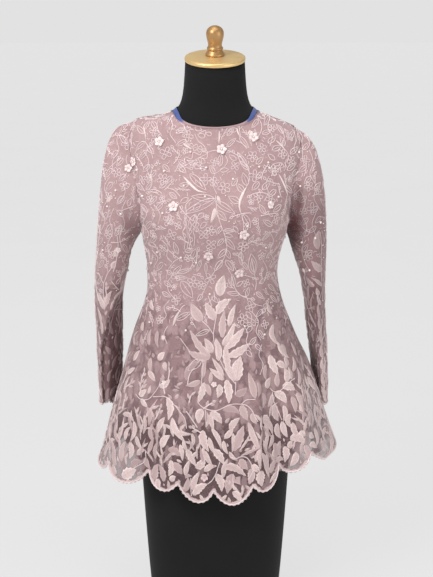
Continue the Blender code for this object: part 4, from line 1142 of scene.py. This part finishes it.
def stitch(name, ground, plan, side=-1):
    work = Stitching(name, ground, side)

    def spot(x, z):  # behind, the plan is fitted to the hem there
        if name == "back" and z < waist:
            z = waist - (waist - z) * (waist - hemHeight(x, 1)) / (waist - hemHeight(x, -1))
        return x, z

    def outside(kind, places, tail):  # nothing crosses the zip or hangs past the hem
        across = min(abs(x) for x, z in places)
        if kind in motifRoom:
            return side > 0 and across <= sum(tail[:1]) + motifRoom[kind]
        past = ground == "body" and max(z - hemHeight(x, side) for x, z in places) < 7
        return past or (side > 0 and across < 5)

    for kind, tailLength in planTail.items():
        for k, row in enumerate(plans[plan].get(kind, ())):
            split = len(row) - tailLength
            places, tail = [spot(*place) for place in zip(row[:split:2], row[1:split:2])], row[split:]
            if outside(kind, places, tail):
                continue
            if kind == "leaves":
                shape = "toothed" if tail[0] > 11.5 and k % 3 else "pointed"
                work.leaf(work.spots(places), tail[0] * 1.22, tail[1], shape)
            elif kind == "strokes":
                work.leaf(work.spots(places), tail[0], 1.8 if tail[0] < 5.5 else 1.25, "pointed", 1.3)
            elif kind in ("stems", "waves"):
                work.cord(work.ground.through(work.spots(places)), 1.6 if kind == "stems" else 1.3)
            elif kind == "open":
                work.openLeaf(places, *tail)
            elif kind == "lobed":
                work.lobedLeaf(places, *tail)
            elif kind == "loops":
                work.loopFlower(work.ground.frameAt(*places[0], side), tail[0], 4 + k % 2, k * 0.7)
            elif kind == "flowers":
                work.bloom(*places[0], tail[0] * 0.88, tail[1], k * 0.9)
            else:
                work.pearl(*work.ground.seen(*places[0], side), 2.2)
    return work


works = {"front": stitch("front", "body", "front"), "back": stitch("back", "body", "front", 1)}
for side, ending in ((-1, ""), (1, "_back")):
    for node in sleeveSheets:
        works[node + ending] = stitch(node + ending, node, node, side)


edgingLook = {  # the panel it goes on, the satin scallops' spacing, and the length and width of the leaves on it
    "front": ("front", 9, 15, 6.5), "back_left": ("back", 9, 15, 6.5), "back_right": ("back", 9, 15, 6.5),
    "sleeve_left": ("sleeve_left", 6, 9, 4), "sleeve_right": ("sleeve_right", 6, 9, 4),
}


def edging(work, rim, spacing, length, width):  # a cord along the edge, small satin scallops, leaves that stand on it
    work.cord([work.ground.near(p) for p in rim], 2.6)
    marks, carry = [], 0.0
    for a, b in zip(rim, rim[1:]):
        run = (b - a).length / mm
        while carry < run:
            marks.append((a.lerp(b, carry / run), (b - a).normalized()))
            carry += spacing
        carry -= run
    for k, (place, way) in enumerate(marks):
        spot, normal = work.ground.near(place)
        down = way.cross(normal)
        if down.z > 0:
            down = -down
        coords = []
        for vert in shapes["small"].data.vertices:
            along, across, lift = vert.co
            a, b = (along - 0.5) * spacing * 1.05, across * 2.6 - 0.4
            coords.append(spot + way * a * mm - down * b * mm + normal * (lift * 0.8 - 0.3) * mm)
        work.copyOf("small", coords, 0.9, "leaves")
        if k % 2:
            lean = (-1 if k % 4 == 1 else 1) * (0.35 + 0.2 * math.sin(k))
            start, way = work.ground.near(spot - down * 2 * mm), Quaternion(normal, lean) @ -down
            line, _ = work.walk(*start, way, length * (1 + 0.25 * math.sin(k * 2.3)), -lean * 0.05)
            if cover.allFree(line[2:], 0.5):
                work.leaf([line[0][0], line[len(line) // 2][0], line[-1][0]], width, 0.55 + 0.45 * (k % 3 > 0))


for node, (name, *look) in edgingLook.items():
    edging(works[name], rims[node], *look)

fillLook = {
    "seed": 7, "trunks": 420,
    "large": (9500, 16, 985), "small": (7000, 12, 980),  # tries, how far from the zip, how high at most
    "outlines": (615, 640), "hooks": (600, 640), "specks": (455, 560),  # from how high, on the body and a sleeve
    "bright": 480, "zip": (535, 990, 3),
}


def workOn(node, y=0):  # the panel that a sheet's embroidery belongs to
    if node in sleeveSheets:
        return works[node + ("_back" if y > 0.03 else "")]
    return works["front" if node == "front" else "back"]


def trunks():  # long satin stems that climb from the hem and fork
    dice = random.Random(fillLook["seed"] + 1)
    count = 0
    for node in bodySheets:
        work = workOn(node)
        for place in dice.choices(rims[node], k=fillLook["trunks"] // (1 if node == "front" else 2)):
            spot, normal = work.ground.near(place + zAxis * dice.uniform(8, 120) * mm)
            if atZip(spot, 20 * mm):
                continue
            curl = dice.uniform(-0.012, 0.012)
            way = Quaternion(normal, dice.gauss(0, 0.5)) @ upOver(normal)
            line, ways = work.walk(spot, normal, way, dice.uniform(24, 52), curl)
            if sum(cover.free(point, 1.0) for point, _ in line) < len(line) * 0.5:
                continue
            wide = dice.uniform(4.5, 8)
            work.leaf([point for point, _ in line[::3]], wide, dice.choice((0.3, 0.6, 0.9)), "toothed")
            lean, long = dice.choice((-0.6, 0.6)), dice.uniform(14, 24)
            fork, _ = work.branch(line, ways, len(line) // 2, lean, long, -curl * 3)
            work.leaf([point for point, _ in fork[::2]], wide * 0.85, 1.0)
            count += 1
    print("trunks", count)


def faceDraws(dice, tries, zipRoom, top):  # faces of the cloth by chance, larger ones more often
    for node, face in dice.choices(faces, weights=[face.area for node, face in faces], k=tries):
        x, y, z = face.center / mm
        crossing = node not in sleeveSheets and y > 0 and abs(x) < zipRoom
        if not (crossing or z > top or atNeck(face.center / mm * 0.97)):
            yield node, face.center.copy(), face.normal.copy(), x, y, z


def satinFill(dice, work, spot, normal, lean, kind, sleeve, x, y, z):  # satin leaves, duller and fewer higher up
    deep = min(max((600 - z) / 250, 0), 1)
    size = (dice.uniform(10, 19) + 4 * deep, dice.uniform(3.6, 6.2) + 1.4 * deep)
    if sleeve or z < fillLook["bright"] + dice.uniform(-25, 25):
        tone = dice.choice((0.6, 0.8, 1.0) if x > 150 and y < 30 else (0.1, 0.3, 0.5, 0.75, 1.0))
    else:
        tone = dice.choice((0.0, 0.05, 0.1, 0.2))
        if dice.random() < 0.5:
            return 0
    if kind < 0.6:
        length, curl = dice.uniform(18, 42), dice.uniform(-0.02, 0.02)
        return work.sprig(spot, normal, lean, length, curl, size, True, tone, 3, 2.2)
    if cover.free(spot, size[1] * 0.4):
        return work.sprig(spot, normal, lean * 1.2, 5, 0, size, True, tone, 9)
    return 0


def roundFill(dice, work, spot, normal):  # a looped flower, where there is room for it
    radius = dice.uniform(5, 8)
    here = onCloth(spot, normal)
    _, right, above, _ = here
    ring = [spot + (right * math.cos(t) + above * math.sin(t)) * radius * 0.75 * mm
            for t in (0.3, 1.5, 2.8, 4.1, 5.3)]
    if not (cover.free(spot, radius * 0.5) and all(cover.free(point, 1) for point in ring)):
        return 0
    work.loopFlower(here, radius, 5, dice.uniform(0, 6))
    return 1


def fillIn():  # small sprigs and flowers wherever the cloth is still bare
    dice = random.Random(fillLook["seed"])
    laid = dict.fromkeys(("satin", "outline", "frond", "flower", "bead", "hook"), 0)
    for node, spot, normal, x, y, z in faceDraws(dice, *fillLook["large"]):
        sleeve, work = node in sleeveSheets, workOn(node, y)
        low = z < fillLook["outlines"][sleeve] + dice.uniform(-60, 50)
        lean, kind = dice.gauss(0, 0.55 + 0.45 * ease((430 - z) / 80)), dice.random()
        if low:
            laid["satin"] += satinFill(dice, work, spot, normal, lean, kind, sleeve, x, y, z)
        elif kind < 0.36:
            how = dice.uniform(14, 34), dice.uniform(-0.04, 0.04), dice.uniform(6.5, 10)
            laid["frond"] += work.frond(spot, normal, lean * 2.2, *how)
        elif kind < 0.7:
            length, curl = dice.uniform(12, 40), dice.uniform(-0.035, 0.035)
            leaf = (dice.uniform(8, 12), dice.uniform(3.4, 4.6))
            laid["outline"] += work.sprig(spot, normal, lean * 2.2, length, curl, leaf, False)
        elif kind < 0.88:
            laid["flower"] += roundFill(dice, work, spot, normal)
        elif kind < 0.93 and cover.free(spot, 1):
            work.pearl(spot, normal, 1.3)
            laid["bead"] += 1
    for node, spot, normal, x, y, z in faceDraws(dice, *fillLook["small"]):
        sleeve, work = node in sleeveSheets, workOn(node, y)
        if z > fillLook["hooks"][sleeve]:  # between the outlines
            way = Quaternion(normal, dice.uniform(-3, 3)) @ upOver(normal)
            hook, _ = work.walk(spot, normal, way, dice.uniform(5, 9), dice.choice((-0.22, -0.12, 0.12, 0.22)), 2)
            if cover.allFree(hook, 1.3):
                work.cord(hook, 1.1)
                laid["hook"] += 1
        elif z <= fillLook["specks"][sleeve] and cover.free(spot, 1.4):
            lean, leaf = dice.gauss(0, 0.7), (dice.uniform(7, 11), dice.uniform(2.6, 4))
            laid["satin"] += work.sprig(spot, normal, lean, 5, 0, leaf, True, dice.choice((0.25, 0.55, 0.9)), 9)
    print("filled in", laid)


for z in range(*fillLook["zip"]):  # the zip stays clear
    cover.add(works["back"].ground.seen(0, z, 1)[0], 4.5)
faces = [(node, face) for node in netSheets for face in sheets[node].data.polygons]
trunks()
fillIn()


satinLook = {
    "dull": "8e7073", "bright": "e8d3cf", "middle": "c4a8a8",  # from what is woven deep to what stands out
    "dullRim": "b59596", "brightRim": "f4e3e0",
    "vein": "ac8e8f", "fleck": "ab8e8e", "row": "a38586", "silver": "fbf0ec", "shade": "6a4c4e",
}


def satinFinish():
    dyes = {key: colour(code) for key, code in satinLook.items()}
    finish = Finish("satin_stitch", Roughness=0.5, Sheen_Weight=0.3)
    spot, flat, tone = finish.place(), finish.node("UVMap"), finish.attribute("tone")
    u, v = (finish.node("SeparateXYZ", {}, {"Vector": flat}, k) for k in (0, 1))
    across = ((v - 0.5) * 2).size()
    rows = (u * 26 + across * 4).wave() * 0.5 + 0.5
    edge = ((across - 0.62) * 5).clamped()
    veins = ((u * 5.5 - across * 1.1).wave() * 5 - 4.1).clamped() * 0.8
    fleck = (finish.noise(2.4, 2, spot) * 5 - 2.6).clamped()
    base = finish.blend(tone, dyes["dull"], dyes["bright"])
    base = finish.blend(finish.noise(9, 2, spot) * 0.62, base, dyes["middle"])
    base = finish.blend(edge, base, finish.blend(tone, dyes["dullRim"], dyes["brightRim"]))
    for part, dye in (
        ((1 - across * 8).clamped().most(veins) * 0.5, "vein"), (fleck * 0.5, "fleck"), (rows * 0.22, "row"),
        # painted shade from the cloth's creases and armpits
        ((tone - 1).clamped() * 0.8, "silver"), (finish.attribute("shade") * 0.85, "shade"),
    ):
        base = finish.blend(part, base, dyes[dye])
    return finish.feed(Base_Color=base, Normal=finish.bump(rows, 0.35, 0.4))


def flowerFinish():
    finish = Finish("raised_petals", Roughness=0.55, Sheen_Weight=0.3)
    spot = finish.place()
    base = finish.blend(finish.attribute("tone"), colour("d9babb"), colour("efdedc"))
    tone = finish.blend(finish.noise(3, 2, spot) * 0.4, base, colour("e0cccb"))
    return finish.feed(Base_Color=tone, Normal=finish.bump(finish.noise(0.5, 1, spot), 0.3, 0.3))


def pearlFinish():
    finish = Finish("pearl_bead", Roughness=0.18, Coat_Weight=0.6, Coat_Roughness=0.1)
    return finish.feed(Base_Color=finish.blend(finish.noise(5, 2), colour("f6ece8"), colour("ead9d6")))


# silk cords, darkened by the cloth's painted shade
silk = dyed("silk_cord", "efdfdf", "d8c1c2", (14, 2), (0.5, 1, 0.4, 0.3), ("shade", satinLook["shade"]),
            Roughness=0.55, Sheen_Weight=0.3)
looks = {"cords": silk, "leaves": satinFinish(), "flowers": flowerFinish(), "pearls": pearlFinish()}
sewn = {name: work.finished(looks) for name, work in works.items()}
for obj in shapes.values():
    bpy.data.objects.remove(obj)
print("embroidery joined")

seamLook = {"seam": 1.6, "neck": 2.2, "light": "b39598", "dark": "98797d"}
seams = Stitching("seam")
for runs, thick in ((seamRuns, seamLook["seam"]), (neckRuns, seamLook["neck"])):
    for run in runs:
        seams.cord([seams.ground.near(point) for point in run], thick)
# seam tape, darkened by the same painted shade as the net
tape = dyed("seam_tape", seamLook["light"], seamLook["dark"], (20, 2), (0.6, 1, 0.3, 0.3),
            ("shade", clothLook["hollowShade"]), Roughness=0.8)
sewn["front"] += seams.finished({"cords": tape})

paintLook = {  # what is painted on the cloth, grown in steps of (from, to, how much) downwards
    "body": {"sheer": ((620, 560, 0.3), (440, 400, 0.7)), "low": ((680, 560, 1),)},
    "sleeve": {"sheer": ((700, 620, 0.15),), "low": ((690, 620, 1),)},
}


def paintCloth(node, rim):
    obj, tree = sheets[node], treeOf(rim)
    places = [(vert.co.x / mm, vert.co.z / mm) for vert in obj.data.vertices]
    for name, steps in paintLook["sleeve" if node in sleeveSheets else "body"].items():
        paint(obj, name, [sum(most * ease((top - z) / (top - low)) for top, low, most in steps) for _, z in places])
    paint(obj, "hem", [min(tree.find(vert.co)[2] / mm, 60) for vert in obj.data.vertices])
    if node in bodySheets:  # painted light: the flare on the right is painted paler, as if lit through from behind
        paint(obj, "pale", [ease((x - 150) / 50) * ease((470 - z) / 60) for x, z in places])


netLook = netFinish("embroidered_net")
liningLook = dyed("lining_satin", "a98a8c", "94767a", (40, 2), (0.6, 1, 0.2, 0.3), Roughness=0.6, Sheen_Weight=0.3)
for node in bodySheets:
    paintCloth(node, [point for name in bodySheets for point in rims[name]])
for node in sleeveSheets:
    paintCloth(node, [point + Vector((0, 0, -6)) * mm for point in rims[node]])
for node, obj in sheets.items():
    modify(obj, "SOLIDIFY", thickness=clothLook["wall"] * mm, offset=-1, use_rim=True, use_even_offset=True)
    smooth(obj, 50)
    net = node in netSheets
    obj.data.materials.append(netLook if net else liningLook)
    fit(obj, node)
print("cloth walls made")

form = nodeCopy("form_torso", "form_body")
shape = bmesh.new()
shape.from_mesh(form.data)
sharp = [len(edge.link_faces) == 2 and edge.calc_face_angle() > math.radians(40) for edge in shape.edges]
shape.free()
paint(form, "crease_edge", sharp, "EDGE")
modify(form, "SUBSURF", levels=1, render_levels=1)
form.data.materials.append(dyed(
    "black_jersey", "0d0d0d", "141415", (70, 3), (0.8, 1, 0.3, 0.4),
    Roughness=0.9, Sheen_Weight=0.04, Sheen_Roughness=0.5, Specular_IOR_Level=0.3))
smooth(form, 50)
fit(form, "form_torso")

# profiles are radius and height, up the axis of the tilted neck
capLook = {
    "tilt": 12, "top": 1082, "steps": 72,
    # painted light: the cap's gilt is painted lighter and the finial's darker, standing in for the reflections they
    # show
    "neck_cap": {"name": "gilt_cap_painted_light", "lift": 0.3, "gilt": ("efd197", "dfbc80"), "profile": (
        (0, 0), (56, 0), (56.7, 0.4), (57, 1.4), (57, 4.4), (56.6, 5.7), (55.6, 6.5), (52, 7.4), (40, 8.6), (22, 9.4),
        (0, 9.4),
    )},
    "cap_finial": {"name": "gilt_finial_painted_shade", "lift": 10.0, "gilt": ("c39b6a", "a27a4c"), "profile": (
        (0, 0), (17.4, 0), (17.9, 0.9), (18, 2), (17.8, 3.2), (17, 4.6), (15.8, 6.2), (14.8, 7.6), (14, 8.8),
        (13.8, 9.8), (14.2, 10.7), (14.8, 11.6), (15.2, 12.5), (15.2, 13.4), (14.8, 14.5), (14, 15.4), (13.2, 16.6),
        (12.9, 18), (12.95, 20.6), (13.4, 23.6), (14.2, 26.8), (15, 30), (15.8, 33.4), (16.3, 36.6), (16.45, 40),
        (16.2, 43.2), (15.4, 46.2), (14, 48.6), (12.1, 50.8), (9.8, 52.4), (7.4, 53.7), (4.8, 54.6), (2.4, 55.1),
        (0, 55.2),
    )},
}


def gildFinish(name, light, dark):
    finish = Finish(name, Metallic=0.65)
    spot = finish.place()
    tone = finish.blend(finish.noise(20, 3, spot), colour(light), colour(dark))
    return finish.feed(Base_Color=tone, Roughness=0.3 + finish.noise(6, 3, spot) * 0.2)


def turned(node):  # a profile spun round the neck's axis
    look = capLook[node]
    bpy.ops.mesh.primitive_plane_add(size=mm)
    obj = bpy.context.object
    obj.name = look["name"]
    editAll(obj)
    bpy.ops.mesh.delete(type="VERT")
    shape = bmesh.from_edit_mesh(obj.data)
    line = [shape.verts.new((radius * mm, 0, height * mm)) for radius, height in look["profile"]]
    for ends in zip(line, line[1:]):
        shape.edges.new(ends)
    bmesh.update_edit_mesh(obj.data)
    bpy.ops.mesh.select_all(action="SELECT")
    bpy.ops.mesh.spin(steps=capLook["steps"], angle=2 * math.pi, center=(0, 0, 0), axis=(0, 0, 1))
    bpy.ops.mesh.select_all(action="SELECT")
    bpy.ops.mesh.remove_doubles(threshold=0.02 * mm)
    bpy.ops.mesh.normals_make_consistent(inside=False)
    leaveEdit()
    tilt = math.radians(capLook["tilt"])
    axis = Vector((0, -math.sin(tilt), math.cos(tilt)))
    turn = zAxis.rotation_difference(axis)
    for vert in obj.data.vertices:
        vert.co = turn @ vert.co + Vector((0, 0, capLook["top"] * mm)) + axis * look["lift"] * mm
    obj.data.materials.append(gildFinish(look["name"], *look["gilt"]))
    smooth(obj, 40)
    fit(obj, node)


turned("neck_cap")
turned("cap_finial")
print("form dressed")

floorLook = {"radius": 30, "insets": (22, 5), "dye": ("505050", "4f4f4f"), "blotch": 400, "glow": 8.9}
bpy.ops.mesh.primitive_circle_add(vertices=96, radius=floorLook["radius"], fill_type="NGON")
floor = bpy.context.object
floor.name = "floor"
editAll(floor, "FACE")
for inset in floorLook["insets"]:
    bpy.ops.mesh.inset(thickness=inset)
leaveEdit()
finish = Finish("pale_floor", Roughness=0.9, Emission_Strength=floorLook["glow"])
tone = finish.blend(finish.noise(floorLook["blotch"], 2), *(colour(dye) for dye in floorLook["dye"]))
floor.data.materials.append(finish.feed(Base_Color=tone, Emission_Color=tone))

studio = {  # where each soft light stands, where it points, its size and its power
    "key": ((-1.9, -2.1, 2.7), (0, 0, 0.75), 1.2, 76),
    "fill": ((2.4, -2.0, 1.1), (0, 0, 0.6), 2.0, 27),
    "top": ((-0.2, -0.4, 3.2), (0, 0, 0.8), 1.6, 22),
}
for name, (spot, aim, size, power) in studio.items():
    bpy.ops.object.light_add(type="AREA", location=spot)
    light = bpy.context.object
    light.name = name
    light.data.size = size
    light.data.energy = power
    light.rotation_euler = (Vector(aim) - Vector(spot)).to_track_quat("-Z", "Y").to_euler()
world = bpy.data.worlds.new("studio")
world.use_nodes = True
nodes, links = world.node_tree.nodes, world.node_tree.links
rays, either = nodes.new("ShaderNodeLightPath"), nodes.new("ShaderNodeMixShader")
links.new(rays.outputs["Is Camera Ray"], either.inputs[0])
seen = nodes.new("ShaderNodeBackground")  # past the floor the eye meets what is as pale as the floor
for k, (sky, strength) in enumerate(((nodes["Background"], 0.42), (seen, 0.76))):
    sky.inputs["Color"].default_value = (1, 1, 1, 1)
    sky.inputs["Strength"].default_value = strength
    links.new(sky.outputs[0], either.inputs[k + 1])
links.new(either.outputs[0], nodes["World Output"].inputs["Surface"])
bpy.context.scene.world = world
bpy.context.scene.view_settings.view_transform = "Standard"
print("studio lit")

bindingLook = {"light": "465b9e", "dark": "32467c", "covered": "b39598", "drawnTo": 0.8, "coveredTo": 52}


def around(point):  # the angle round the neck from the middle of the front
    return math.atan2(point.x, -point.y)


binding = nodeCopy("neck_binding", "neck_bias")
modify(binding, "SUBSURF", levels=1, render_levels=1)
neckline = [(around(point), point) for run in neckRuns for point in run]
for vert in binding.data.vertices:  # only a narrow strip of it stands inside the neckline
    angle = around(vert.co)
    edge = min(neckline, key=lambda other: abs(math.remainder(other[0] - angle, 2 * math.pi)))[1]
    vert.co = edge.lerp(vert.co, bindingLook["drawnTo"])
widest = math.radians(bindingLook["coveredTo"])
paint(binding, "covered", [ease((widest - abs(around(vert.co))) / 0.12) for vert in binding.data.vertices])
binding.data.materials.append(dyed(
    "bias_binding", bindingLook["light"], bindingLook["dark"], (12, 2), (0.5, 1, 0.4, 0.3),
    ("covered", bindingLook["covered"]), Roughness=0.65, Sheen_Weight=0.2))
smooth(binding, 50)
fit(binding, "neck_binding")

zipLook = {"pitch": 1.35, "tooth": (1.7, 0.9, 0.8), "bevel": 0.2, "rise": 0.25, "side": 0.42, "end": 1}
zipGrain = ((4, 3), (0.7, 2, 0.3, 0.15))


def toothShape():
    bpy.ops.mesh.primitive_cube_add(size=1)
    tooth = bpy.context.object
    editAll(tooth, "EDGE")
    bpy.ops.transform.resize(value=tuple(size * mm for size in zipLook["tooth"]))
    bpy.ops.mesh.bevel(offset=zipLook["bevel"] * mm, segments=1)
    leaveEdit()
    return tooth


def zipTeeth():  # up the chain's outer face, on one side and then the other
    tooth, mesh = toothShape(), frame["nodes"]["zip_chain"].data
    chain = BVHTree.FromPolygons([v.co for v in mesh.vertices], [list(p.vertices) for p in mesh.polygons])
    heights = [v.co.z for v in mesh.vertices]
    teeth, z = [], min(heights) + zipLook["end"] * mm
    while z < max(heights) - zipLook["end"] * mm:
        spot, normal, _, _ = chain.ray_cast(Vector((0, 0.3, z)), Vector((0, -1, 0)))
        if spot is None:
            z += mm
            continue
        copy = newObject(tooth.data.copy(), "tooth")
        turn = Vector((0, -1, 0)).rotation_difference(-normal)
        side = zipLook["side"] if len(teeth) % 2 else -zipLook["side"]
        for vert in copy.data.vertices:
            vert.co = spot + turn @ (vert.co + Vector((side * mm, zipLook["rise"] * mm, 0)))
        teeth.append(copy)
        z = z + zipLook["pitch"] * mm * max(abs(normal.y), 0.3)
    bpy.data.objects.remove(tooth)
    print("zip made,", len(teeth), "teeth")
    return joinAll(teeth, "zip_teeth")


teeth = zipTeeth()
teeth.data.materials.append(dyed("zip_nylon", "c3a4a6", "a98b8e", *zipGrain, Roughness=0.4))
smooth(teeth, 30)
fit(teeth)
tapeLook = dyed("zip_tape", "a3868a", "8d7074", *zipGrain, Roughness=0.8)
metalLook = dyed("zip_metal", "d0b9b6", "b49a98", *zipGrain, Roughness=0.35, Metallic=0.8)
for node, look in (("zip_chain", tapeLook), ("zip_slider", metalLook), ("zip_pull", metalLook)):
    frame["nodes"][node].material_slots[0].material = look

cut = {  # each cloth's flat size in metres, its area, how it is held, what it rests on and what is sewn on it
    "front": ((0.56, 0.74), 0.32, "draped", "form_body", ("front",)),
    "back_left": ((0.3, 0.74), 0.155, "draped", "form_body", ("back",)),
    "back_right": ((0.3, 0.74), 0.153, "draped", "form_body", ()),
    "sleeve_left": ((0.27, 0.58), 0.123, "hung", "front_net", ("sleeve_left", "sleeve_left_back")),
    "sleeve_right": ((0.27, 0.58), 0.116, "hung", "front_net", ("sleeve_right", "sleeve_right_back")),
    "lining_skirt": ((0.94, 0.2), 0.183, "hung", "form_body", ()),
}
for node, (flat, area, held, under, panels) in cut.items():
    print(node, "triangles", triangles(sheets[node]))
